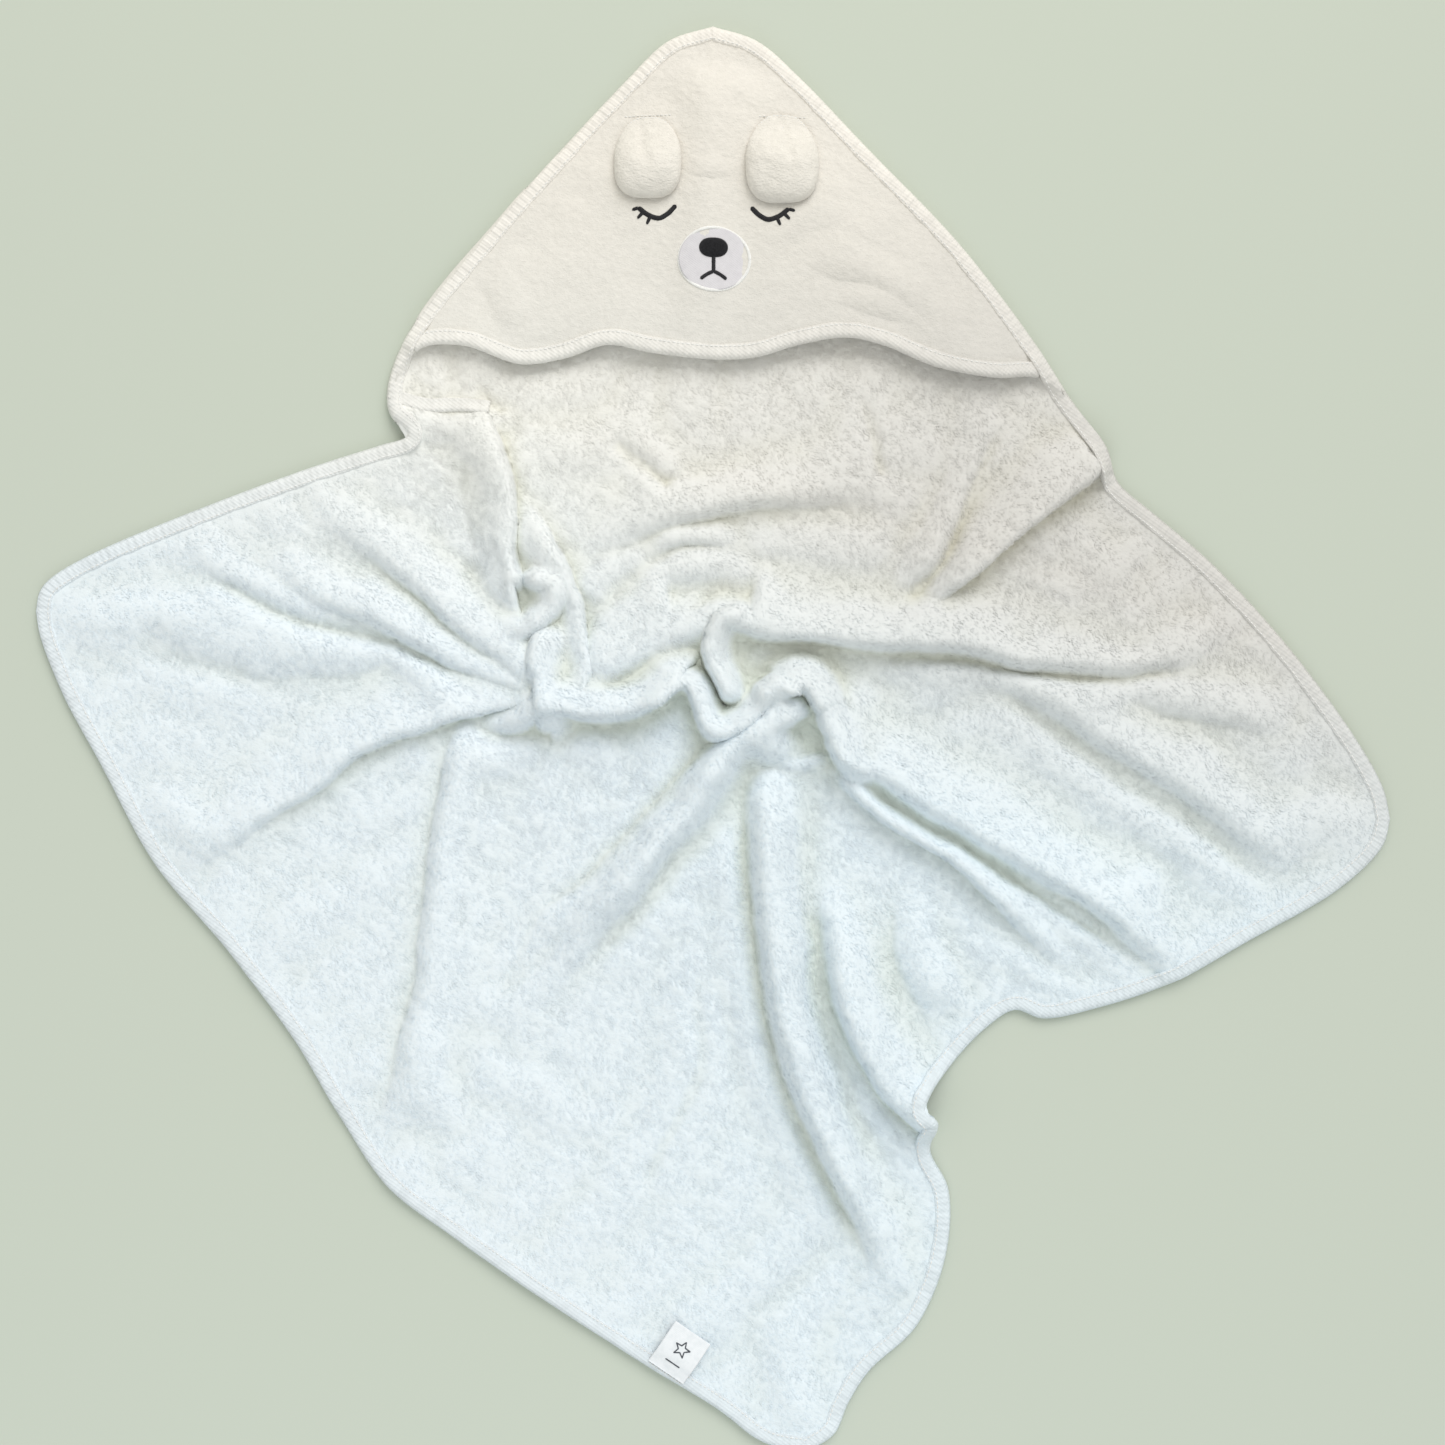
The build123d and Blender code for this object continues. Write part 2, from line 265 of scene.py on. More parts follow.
# The hood's soft wrinkles, told as the folds are.
HOOD_FOLDS = {
    "right wrinkle": ([(62, 352), (92, 338), (125, 321), (165, 303)], 3.0, 10, 22, (-1, -1), 0, (0.4, 0.4)),
    "right lower wrinkle": ([(88, 318), (118, 306), (150, 300)], 2.2, 8, 16, (0, -1), 0, (0.4, 0.5)),
    "cheek wrinkle": ([(30, 350), (70, 366), (110, 372)], 1.6, 10, 18, (0, -1), 0, (0.4, 0.5)),
    "left wrinkle": ([(-165, 330), (-150, 312), (-146, 290)], 2.0, 10, 22, (-1, 0), 0, (0.4, 0.3)),
    "brow wrinkle": ([(-20, 408), (0, 404), (22, 408)], 1.2, 7, 12, (0, -1), 0, (0.4, 0.4)),
}


# ---------------------------------------------------------------- curves and noise
SPAN_SAMPLES = 24
LATTICE = 256
LATTICE_SHIFT = (100.3, 100.7)
TINY = 1e-12


def resample(line, count):
    """Points at equal steps along a polyline."""
    steps = np.linalg.norm(np.diff(line, axis=0), axis=1)
    reach = np.concatenate([[0.0], np.cumsum(steps)])
    wanted = np.linspace(0.0, reach[-1], count)
    return np.stack([np.interp(wanted, reach, line[:, k]) for k in range(line.shape[1])], axis=1)


def length_of(line):
    """The length of a polyline."""
    return float(np.linalg.norm(np.diff(line, axis=0), axis=1).sum())


def smooth_line(points, step=1.5 * MM):
    """A smooth curve through points, sampled at equal steps."""
    p = np.array(points, float)
    gaps = np.sqrt(np.linalg.norm(np.diff(p, axis=0), axis=1))
    knots = np.concatenate([[0.0], np.cumsum(gaps)])
    slopes = np.gradient(p, knots, axis=0)
    pieces = []
    for i in range(len(p) - 1):
        span = knots[i + 1] - knots[i]
        t = np.linspace(0, 1, SPAN_SAMPLES, endpoint=i == len(p) - 2)[:, None]
        pieces.append(
            (2 * t**3 - 3 * t**2 + 1) * p[i]
            + (t**3 - 2 * t**2 + t) * span * slopes[i]
            + (3 * t**2 - 2 * t**3) * p[i + 1]
            + (t**3 - t**2) * span * slopes[i + 1]
        )
    line = np.concatenate(pieces)
    return resample(line, max(4, int(length_of(line) / step)))


def unit(vectors):
    """Each vector of a list, one unit long."""
    return vectors / np.maximum(np.linalg.norm(vectors, axis=-1, keepdims=True), TINY)


def smoothstep(x):
    """A soft step from 0 to 1 as x goes from 0 to 1."""
    x = np.clip(x, 0.0, 1.0)
    return x * x * (3 - 2 * x)


def noise(x, y, size, seed, octaves=1):
    """Smooth random values about 0, within about -1 to 1, with features of a given size."""
    total = np.zeros(np.shape(x))
    strength, reach = 1.0, 0.0
    for octave in range(octaves):
        lattice = np.random.default_rng(SEED + seed * 10 + octave).uniform(-1, 1, (LATTICE, LATTICE))
        gx = x / size + LATTICE_SHIFT[0]
        gy = y / size + LATTICE_SHIFT[1]
        ix, iy = np.floor(gx).astype(int), np.floor(gy).astype(int)
        fx, fy = smoothstep(gx - ix), smoothstep(gy - iy)
        low_x, high_x, low_y, high_y = ix % LATTICE, (ix + 1) % LATTICE, iy % LATTICE, (iy + 1) % LATTICE
        a = lattice[low_x, low_y] * (1 - fx) + lattice[high_x, low_y] * fx
        b = lattice[low_x, high_y] * (1 - fx) + lattice[high_x, high_y] * fx
        total += strength * (a * (1 - fy) + b * fy)
        reach += strength
        strength *= 0.5
        size *= 0.5
    return total / reach


def streaks(x, y, length, width, turn, seed):
    """Noise whose clumps are longer than wide, lying at an angle."""
    c, s = np.cos(turn), np.sin(turn)
    return noise((x * c + y * s) * width / length, -x * s + y * c, width, seed, 2)


# ---------------------------------------------------------------- mesh helpers
FLOOR_GAP = 0.1 * MM
ABOVE_ALL = 1.0


def new_object(name, vertices, faces):
    """A smooth mesh object from its points and its faces, an array or a list of lists."""
    mesh = bpy.data.meshes.new(name)
    face_lists = faces if isinstance(faces, list) else faces.tolist()
    mesh.from_pydata(np.asarray(vertices, float).tolist(), [], face_lists)
    mesh.update()
    mesh.polygons.foreach_set("use_smooth", np.ones(len(mesh.polygons), bool))
    obj = bpy.data.objects.new(name, mesh)
    bpy.context.scene.collection.objects.link(obj)
    return obj


def square_object(name, reach):
    """A flat square about the origin."""
    corners = [(-reach, -reach, 0), (reach, -reach, 0), (reach, reach, 0), (-reach, reach, 0)]
    return new_object(name, corners, [(0, 1, 2, 3)])


def grid_faces(rows, columns, start=0, wrap=False):
    """Quads over a grid of points numbered row by row; wrap joins the last column to the first."""
    index = start + np.arange(rows * columns).reshape(rows, columns)
    if wrap:
        index = np.concatenate([index, index[:, :1]], axis=1)
    quads = np.stack([index[:-1, :-1], index[1:, :-1], index[1:, 1:], index[:-1, 1:]], axis=-1)
    return quads.reshape(-1, 4)


def grid_normals(points):
    """Unit normals of a grid of points, pointing up where the grid is flat."""
    du = np.gradient(points, axis=0)
    dv = np.gradient(points, axis=1)
    normal = unit(np.cross(du, dv))
    if normal[..., 2].mean() < 0:
        normal = -normal
    return normal


def border_index(rows, columns):
    """The numbers of a grid's border points, in order round it."""
    index = np.arange(rows * columns).reshape(rows, columns)
    return np.concatenate([index[0, :-1], index[:-1, -1], index[-1, :0:-1], index[:0:-1, 0]])


def sheet_object(name, middle, thickness, pile=None):
    """A closed sheet about a grid of middle points, with pile heights added to its upper face."""
    rows, columns = middle.shape[:2]
    normal = grid_normals(middle)
    lift = thickness / 2 + (0 if pile is None else pile[..., None])
    upper = (middle + normal * lift).reshape(-1, 3)
    lower = (middle - normal * thickness / 2).reshape(-1, 3)
    lower[:, 2] = np.maximum(lower[:, 2], FLOOR_GAP)
    top = grid_faces(rows, columns)
    centre = middle[rows // 2, columns // 2]
    across = middle[rows // 2 + 1, columns // 2] - centre
    along = middle[rows // 2, columns // 2 + 1] - centre
    clockwise = np.cross(across, along)[2] < 0
    if clockwise:
        top = top[:, ::-1]
    bottom = top[:, ::-1] + rows * columns
    rim = border_index(rows, columns)
    following = np.roll(rim, -1)
    wall = np.stack([rim, following, following + rows * columns, rim + rows * columns], axis=1)
    if not clockwise:
        wall = wall[:, ::-1]
    return new_object(name, np.concatenate([upper, lower]), np.concatenate([top, bottom, wall]))


def surface_of(*objects):
    """A function that gives the height of the highest of some meshes over a place, or None."""
    trees = []
    for obj in objects:
        vertices = [v.co for v in obj.data.vertices]
        trees.append(BVHTree.FromPolygons(vertices, [p.vertices for p in obj.data.polygons]))

    def height(x, y):
        """The height over one place."""
        found = None
        for tree in trees:
            hit = tree.ray_cast(Vector((x, y, ABOVE_ALL)), Vector((0, 0, -1)))[0]
            if hit is not None and (found is None or hit.z > found):
                found = hit.z
        return found

    return height


# ---------------------------------------------------------------- the towel's shape
SIDE_WINDOW = 41
LEAST_STEP = 0.3 * MM
FOLD_STEP = 2.5 * MM
FOLD_POWER = 3.0
END_ROUND = 0.04
HOLLOW_END = 0.15
FAR = 1.0
# The cloth's soft unevenness: the size and the height of each layer of waves, in millimetres
SOFT_WAVES = ((110, 3.0), (48, 1.6), (22, 0.7))
RIPPLE = 1.2 * MM
RIPPLE_SIZE = 60 * MM
# How far in from the edge the loft, the waves, the ripple and the leaning of folds grow or fade
LOFT_REACH = 70 * MM
WAVE_REACH = 40 * MM
RIPPLE_REACH = 30 * MM
LEAN_REACH = 20 * MM
# Where the towel begins to lie flatter under the hood, over what length, and how much flatter it lies
UNDER_HOOD_START = 0.20
UNDER_HOOD_RAMP = 0.05
LOFT_UNDER_HOOD = 0.45
BODY_UNDER_HOOD = 0.4


def side_points(points, count):
    """A side of the towel sampled so that small waves in it don't crowd the weave behind it."""
    line = smooth_line(points)
    padded = np.pad(line, ((SIDE_WINDOW, SIDE_WINDOW), (0, 0)), mode="edge")
    kernel = np.ones(2 * SIDE_WINDOW + 1) / (2 * SIDE_WINDOW + 1)
    calm = np.stack([np.convolve(padded[:, k], kernel, "valid") for k in range(2)], axis=1)
    steps = np.linalg.norm(np.diff(calm, axis=0), axis=1) + LEAST_STEP
    reach = np.concatenate([[0.0], np.cumsum(steps)])
    wanted = np.linspace(0, reach[-1], count)
    return np.stack([np.interp(wanted, reach, line[:, k]) for k in range(2)], axis=1)


def patch(first, last, start, end, settle=300):
    """A grid of places between four sides: rows run from first to last, columns from start to end."""
    rows, columns = len(start), len(first)
    u = np.linspace(0, 1, columns)[None, :, None]
    v = np.linspace(0, 1, rows)[:, None, None]
    grid = (1 - v) * first[None] + v * last[None] + (1 - u) * start[:, None] + u * end[:, None]
    grid -= (1 - u) * (1 - v) * first[0] + u * (1 - v) * first[-1]
    grid -= (1 - u) * v * last[0] + u * v * last[-1]
    for _ in range(settle):
        inner = grid[:-2, 1:-1] + grid[2:, 1:-1] + grid[1:-1, :-2] + grid[1:-1, 2:]
        grid[1:-1, 1:-1] = 0.5 * grid[1:-1, 1:-1] + 0.125 * inner
    return grid


def along_line(places, line, reach):
    """The places within reach of a line: which, how far to its left, share of the way, left normals."""
    low, high = line.min(0) - reach, line.max(0) + reach
    near = np.flatnonzero(np.all((places >= low) & (places <= high), axis=1))
    gap = places[near][:, None] - line[None]
    square = (gap**2).sum(2)
    best = square.argmin(1)
    tangent = unit(np.gradient(line, axis=0))
    left = np.stack([-tangent[:, 1], tangent[:, 0]], axis=1)
    offset = gap[np.arange(len(near)), best]
    side = np.sign((offset * left[best]).sum(1))
    distance = np.sqrt(square[np.arange(len(near)), best]) * side
    return near, distance, best / (len(line) - 1), left[best]


def fold_relief(places, folds):
    """Height of the folds at each place, and how far the cloth leans sideways there."""
    height = np.zeros(len(places))
    lean = np.zeros((len(places), 2))
    x, y = places.T
    warp = np.stack([noise(x, y, 45 * MM, 1, 2), noise(x, y, 45 * MM, 2, 2)], axis=1) * 5 * MM
    for points, rise, steep, gentle, facing, over, fades in folds.values():
        line = smooth_line(np.array(points) * MM, step=FOLD_STEP)
        wide = max(steep, gentle) * MM
        near, distance, share, left = along_line(places + warp, line, wide)
        side = np.sign((left * np.array(facing)).sum(1))
        side[side == 0] = 1
        d = distance * side
        steep_side = np.cos(np.clip(d / (steep * MM), 0, 1) * np.pi / 2) ** 0.8
        gentle_side = 0.5 + 0.5 * np.cos(np.clip(-d / (gentle * MM), 0, 1) * np.pi)
        shape = np.where(d > 0, steep_side, gentle_side)
        shape *= smoothstep((share + END_ROUND) / (fades[0] + END_ROUND))
        shape *= smoothstep((1 - share + END_ROUND) / (fades[1] + END_ROUND))
        part = rise * MM * shape
        height[near] += part**FOLD_POWER
        lean[near] += left * (side * over * MM * shape**2)[:, None]
    return height ** (1 / FOLD_POWER), lean


def hollow_relief(places):
    """The share of the cloth's height that is left at each place by its hollows."""
    left_over = np.ones(len(places))
    for points, depth, wide in HOLLOWS.values():
        line = smooth_line(np.array(points) * MM, step=FOLD_STEP)
        near, distance, share, _ = along_line(places, line, 2 * wide * MM)
        shape = np.exp(-((distance / (wide * MM)) ** 2) * 1.5)
        for way in (share, 1 - share):
            shape *= smoothstep(way / HOLLOW_END + 0.1)
        left_over[near] *= 1 - depth * shape
    return left_over


def calm_grid(values, times):
    """Values over a grid, averaged with their neighbours a number of times."""
    for _ in range(times):
        padded = np.pad(values, 1, mode="edge")
        beside = padded[:-2, 1:-1] + padded[2:, 1:-1] + padded[1:-1, :-2] + padded[1:-1, 2:]
        values = 0.5 * values + 0.125 * beside
    return values


def gap_to(line, places):
    """The distance of each place from the nearest point of a line."""
    square = np.full(len(places), FAR)
    for point in line:
        square = np.minimum(square, ((places - point) ** 2).sum(1))
    return np.sqrt(square)


def towel_middle():
    """The middle surface of the laid towel, as a grid of points."""
    first = side_points(TIP_TO_RIGHT, GRID)
    last = side_points(LEFT_TO_FOOT, GRID)
    start = side_points(TIP_TO_LEFT, GRID)
    end = side_points(RIGHT_TO_FOOT, GRID)
    grid = patch(first, last, start, end)
    rows, columns = grid.shape[:2]
    places = grid.reshape(-1, 2)
    x, y = places.T
    folds, lean = fold_relief(places, FOLDS)
    edge_gap = gap_to(places[border_index(rows, columns)][::3], places)
    under_hood = smoothstep((y - UNDER_HOOD_START) / UNDER_HOOD_RAMP)
    loft = LOFT * smoothstep(edge_gap / LOFT_REACH) * (1 - (1 - LOFT_UNDER_HOOD) * under_hood)
    layers = enumerate(SOFT_WAVES, 3)
    soft = sum(noise(x, y, size * MM, seed) * high * MM for seed, (size, high) in layers)
    soft *= smoothstep(edge_gap / WAVE_REACH)
    body = (loft + soft + folds) * hollow_relief(places)
    body *= 1 - (1 - BODY_UNDER_HOOD) * under_hood
    ripple = (noise(x, y, RIPPLE_SIZE, 6) + 1) * RIPPLE
    height = EDGE_HEIGHT + np.maximum(body, 0) + ripple * (1 - smoothstep(edge_gap / RIPPLE_REACH))
    height = calm_grid(height.reshape(rows, columns), 3)
    calm_lean = np.stack([calm_grid(lean[:, k].reshape(rows, columns), 3) for k in range(2)], axis=2)
    calm_lean *= smoothstep(edge_gap / LEAN_REACH).reshape(rows, columns, 1)
    middle = np.concatenate([grid + calm_lean, height[..., None]], axis=2)
    return middle, edge_gap.reshape(rows, columns)


def settle(middle, edge_gap):
    """Lets the laid cloth slacken a little and sink under its own weight, its edge held where it lies."""
    coarse = middle[::SETTLE_STEP, ::SETTLE_STEP]
    rows, columns = coarse.shape[:2]
    cloth_obj = new_object("settling_cloth", coarse.reshape(-1, 3), grid_faces(rows, columns))
    held = cloth_obj.vertex_groups.new(name="held")
    gap = edge_gap[::SETTLE_STEP, ::SETTLE_STEP].reshape(-1)
    for index, weight in enumerate(1 - smoothstep((gap - HELD_EDGE) / HELD_FADE)):
        held.add([index], float(weight), "REPLACE")
    cloth = cloth_obj.modifiers.new("cloth", "CLOTH")
    for name, value in CLOTH_SETTINGS.items():
        setattr(cloth.settings, name, value)
    cloth.collision_settings.distance_min = 1.5 * MM
    cloth.point_cache.frame_start = 1
    cloth.point_cache.frame_end = SETTLE_FRAMES
    ground = square_object("settling_ground", 1.0)
    ground.modifiers.new("collision", "COLLISION")
    ground.collision.thickness_outer = 1.0 * MM
    for step in range(1, SETTLE_FRAMES + 1):
        bpy.context.scene.frame_set(step)
    shown = cloth_obj.evaluated_get(bpy.context.evaluated_depsgraph_get())
    settled = np.array([v.co for v in shown.data.vertices]).reshape(rows, columns, 3)
    bpy.context.scene.frame_set(1)
    for obj in (cloth_obj, ground):
        bpy.data.objects.remove(obj)
    moved = settled - coarse
    size = np.linalg.norm(moved, axis=2, keepdims=True)
    moved *= np.minimum(1, SETTLE_CAP / np.maximum(size, TINY))
    spread = [finer(moved[..., k], middle.shape[:2]) for k in range(3)]
    fine = np.stack([calm_grid(values, SETTLE_STEP**2) for values in spread], axis=2)
    result = middle + fine
    result[..., 2] = np.maximum(result[..., 2], EDGE_HEIGHT * 0.8)
    return result


def finer(values, shape):
    """Values over a coarse grid, spread over a finer one."""
    rows = np.linspace(0, values.shape[0] - 1, shape[0])
    columns = np.linspace(0, values.shape[1] - 1, shape[1])
    wide = np.stack([np.interp(columns, np.arange(values.shape[1]), row) for row in values])
    return np.stack([np.interp(rows, np.arange(values.shape[0]), c) for c in wide.T], axis=1)


# ---------------------------------------------------------------- materials
WAVE_UNIT = 6.3
# The cloth's painted light by place: warm and cool light for its right and its left, the right darker as
# painted shade, and the painted shade that multiplies them in a groove
PAINTED_SIDE_LIGHT = (((0.765, 0.755, 0.740), (0.840, 0.930, 1.0)), ((0.945, 0.945, 0.925), (0.860, 0.935, 1.0)))
# Painted shade tint for the bottom of the folds
PAINTED_FOLD_SHADE = (0.90, 0.885, 0.79)
# Painted warm light towards the hood's end of the cloth
PAINTED_HOOD_LIGHT = (0.985, 0.95, 0.905)


def fed(tree, kind, inputs, output, **settings):
    """The output of a new shader node, its inputs given as numbers, colours or other nodes' outputs."""
    made = tree.nodes.new("ShaderNode" + kind)
    for name, value in settings.items():
        setattr(made, name, value)
    for socket, value in inputs.items():
        if isinstance(value, bpy.types.NodeSocket):
            tree.links.new(value, made.inputs[socket])
        else:
            made.inputs[socket].default_value = value
    return made.outputs[output]


def noise_node(tree, place, scale, detail=2.0, roughness=0.55):
    """Noise over the place, its features counted per metre."""
    inputs = {"Vector": place, "Scale": scale, "Detail": detail, "Roughness": roughness}
    return fed(tree, "TexNoise", inputs, "Fac")


def wave_node(tree, place, turn, count, distortion):
    """Waves over the place, turned about Z and counted per metre."""
    waved = turned(tree, place, turn, 1.0)
    inputs = {"Vector": waved, "Scale": count / WAVE_UNIT, "Distortion": distortion}
    return fed(tree, "TexWave", inputs, "Fac")


def turned(tree, place, turn, stretch):
    """Places turned about Z and stretched along X, so that a pattern on them gets longer that way."""
    inputs = {"Vector": place, "Rotation": (0, 0, turn), "Scale": (1 / stretch, 1, 1)}
    return fed(tree, "Mapping", inputs, "Vector")


def maths(tree, operation, first, second):
    """One sum of two values, each given or made by a node."""
    return fed(tree, "Math", {0: first, 1: second}, "Value", operation=operation)


def ranged(tree, value, low, high):
    """The value stretched so that low becomes 0 and high becomes 1."""
    return fed(tree, "MapRange", {"Value": value, "From Min": low, "From Max": high}, "Result")


def blended(tree, factor, first, second, kind="MIX"):
    """A colour between two colours, each given or made by a node."""
    first, second = ((*c, 1) if isinstance(c, tuple) else c for c in (first, second))
    inputs = {"Factor": factor, "A": first, "B": second}
    return fed(tree, "Mix", inputs, "Result", data_type="RGBA", blend_type=kind)


def painted_light_tone(tree, place):
    """Painted light on the cloth: warm white light near the hood, cooler light towards the foot, and painted
    shade a little greyer to the right.
    """
    x = fed(tree, "SeparateXYZ", {"Vector": place}, "X")
    y = fed(tree, "SeparateXYZ", {"Vector": place}, "Y")
    down = ranged(tree, weighed(tree, (x, 0.3), (y, 1.0)), 0.19, 0.0)
    left = ranged(tree, x, 0.16, -0.12)
    up = ranged(tree, y, 0.22, 0.42)
    sides = [blended(tree, down, *tones) for tones in PAINTED_SIDE_LIGHT]
    return blended(tree, up, blended(tree, left, *sides), PAINTED_HOOD_LIGHT)


def material(name, base, deep, roughness, sheen, build, with_painted_light=False):
    """A cloth material: build adds its pattern and returns a factor from deep to base and a height."""
    made = bpy.data.materials.new(name)
    made.use_nodes = True
    tree = made.node_tree
    shader = tree.nodes["Principled BSDF"]
    shader.inputs["Roughness"].default_value = roughness
    shader.inputs["Sheen Weight"].default_value = sheen
    shader.inputs["Sheen Roughness"].default_value = 0.45
    shader.inputs["Specular IOR Level"].default_value = 0.25
    place = fed(tree, "TexCoord", {}, "Object")
    factor, height, strength, depth = build(tree, place)
    colour = blended(tree, factor, deep, base)
    if with_painted_light:
        # Painted light and shade by place, multiplied into the cloth's colour
        colour = blended(tree, 1.0, colour, painted_light_tone(tree, place), "MULTIPLY")
        # Painted shade in the creases: a warm dark tint multiplied in by how deep in a fold each point lies
        painted_crease_shade = fed(tree, "Attribute", {}, "Fac", attribute_name="painted_crease_shade")
        colour = blended(tree, painted_crease_shade, colour, PAINTED_FOLD_SHADE, "MULTIPLY")
    tree.links.new(colour, shader.inputs["Base Color"])
    inputs = {"Strength": strength, "Distance": depth, "Height": height}
    tree.links.new(fed(tree, "Bump", inputs, "Normal"), shader.inputs["Normal"])
    return made


def pile_pattern(clump, loop, stretch, strength, depth):
    """Terry pile: leaning clumps of loops over fine loops. Sizes are the number per metre."""

    def build(tree, place):
        leaning = turned(tree, place, 0.7, stretch)
        clumps = noise_node(tree, leaning, clump, 3.0, 0.6)
        patches = noise_node(tree, place, clump / 5, 2.0)
        loops = fed(tree, "TexVoronoi", {"Scale": loop, "Vector": leaning}, "Distance")
        fuzz = noise_node(tree, place, loop * 1.6, 2.0, 0.7)
        height = weighed(tree, (clumps, 1.6), (loops, -0.45), (fuzz, 0.35))
        tone = weighed(tree, (clumps, 0.75), (patches, 0.25))
        return ranged(tree, tone, 0.30, 0.62), height, strength, depth

    return build


def weighed(tree, *parts):
    """The sum of some values, each times its weight."""
    scaled = [maths(tree, "MULTIPLY", value, weight) for value, weight in parts]
    total = scaled[0]
    for value in scaled[1:]:
        total = maths(tree, "ADD", total, value)
    return total


def weave_pattern(threads, strength, depth):
    """A close twill of threads, counted per metre."""

    def build(tree, place):
        waves = [wave_node(tree, place, turn, threads, 0.6) for turn in (0.6, 2.2)]
        tone = noise_node(tree, place, threads / 8, 3.0)
        return ranged(tree, tone, 0.3, 0.6), maths(tree, "ADD", *waves), strength, depth

    return build


def thread_pattern(twists, strength, depth):
    """Twisted thread, the twists counted per metre."""

    def build(tree, place):
        tone = noise_node(tree, place, twists / 3, 2.0)
        wave = wave_node(tree, place, 0.8, twists, 1.5)
        return ranged(tree, tone, 0.3, 0.65), wave, strength, depth

    return build


TERRY_LOOK = material(
    "terry", (0.96, 0.96, 0.95), (0.92, 0.92, 0.91), 0.95, 0.2,
    pile_pattern(330, 800, 1.6, 0.3, 0.8 * MM), with_painted_light=True,
)
TUFT_LOOK = material(
    "terry_tufts", (0.985, 0.985, 0.98), (0.94, 0.94, 0.93), 0.95, 0.2,
    pile_pattern(260, 900, 1.6, 0.1, 0.4 * MM), with_painted_light=True,
)
HOOD_LOOK = material(
    "hood_terry", (0.845, 0.84, 0.822), (0.78, 0.775, 0.757), 0.95, 0.2,
    pile_pattern(400, 1000, 1.5, 0.45, 0.9 * MM), with_painted_light=True,
)
EAR_LOOK = material(
    "ear_plush", (0.87, 0.865, 0.845), (0.79, 0.785, 0.765), 0.95, 0.25,
    pile_pattern(260, 700, 1.6, 0.55, 1.5 * MM), with_painted_light=True,
)
TAPE_LOOK = material(
    "binding_tape", (0.925, 0.92, 0.91), (0.85, 0.845, 0.835), 0.8, 0.12,
    weave_pattern(900, 0.4, 0.4 * MM), with_painted_light=True,
)
THREAD_LOOK = material(
    "white_thread", (0.93, 0.93, 0.92), (0.85, 0.85, 0.84), 0.6, 0.1,
    thread_pattern(1600, 0.5, 0.2 * MM),
)
BLACK_LOOK = material(
    "black_thread", (0.022, 0.022, 0.026), (0.008, 0.008, 0.010), 0.42, 0.1,
    thread_pattern(2600, 0.5, 0.12 * MM),
)
PATCH_LOOK = material(
    "patch_cloth", (0.715, 0.70, 0.735), (0.67, 0.655, 0.69), 0.85, 0.15,
    weave_pattern(1500, 0.3, 0.2 * MM),
)
LABEL_LOOK = material(
    "label_tape", (0.88, 0.91, 0.95), (0.80, 0.84, 0.88), 0.5, 0.1,
    weave_pattern(1800, 0.3, 0.15 * MM),
)
YARN_LOOK = material(
    "label_yarn", (0.10, 0.11, 0.13), (0.05, 0.055, 0.07), 0.6, 0.1,
    thread_pattern(2000, 0.4, 0.12 * MM),
)
BACKING_LOOK = material(
    "stabiliser", (0.88, 0.88, 0.88), (0.80, 0.80, 0.80), 0.9, 0.0,
    weave_pattern(700, 0.2, 0.2 * MM),
)
STUFFING_LOOK = material(
    "stuffing", (0.9, 0.9, 0.9), (0.75, 0.75, 0.75), 0.95, 0.2,
    pile_pattern(300, 800, 3.0, 0.8, 2.0 * MM),
)


# ---------------------------------------------------------------- pile
# The painted crease shade: how widely the cloth's level is averaged, and the depth below it that takes the
# shade in full
SHADE_SPREAD = 150
SHADE_DEPTH = 6 * MM
TOWEL_TUFTS = 200000
TUFT_LENGTH = 2.3 * MM
TUFT_WIDTH = 0.62 * MM
TUFT_ROOT = 0.6 * MM
TUFT_LEAN = -0.7
TUFT_TILT = 1.25
TUFT_RELIEF = 0.12


def painted_shade_weight(points):
    """How deep in a fold each point of a grid lies, as the weight of the painted crease shade: 0 on open
    cloth, 1 at the bottom of a groove.
    """
    level = points[..., 2]
    return np.clip((calm_grid(level, SHADE_SPREAD) - level) / SHADE_DEPTH, 0, 1)


def store_painted_shade(piece, values):
    """Keep on the mesh how deep in a fold each of its points lies, for the painted crease shade of its
    material.
    """
    piece.data.attributes.new("painted_crease_shade", "FLOAT", "POINT").data.foreach_set("value", values.astype(np.float32))


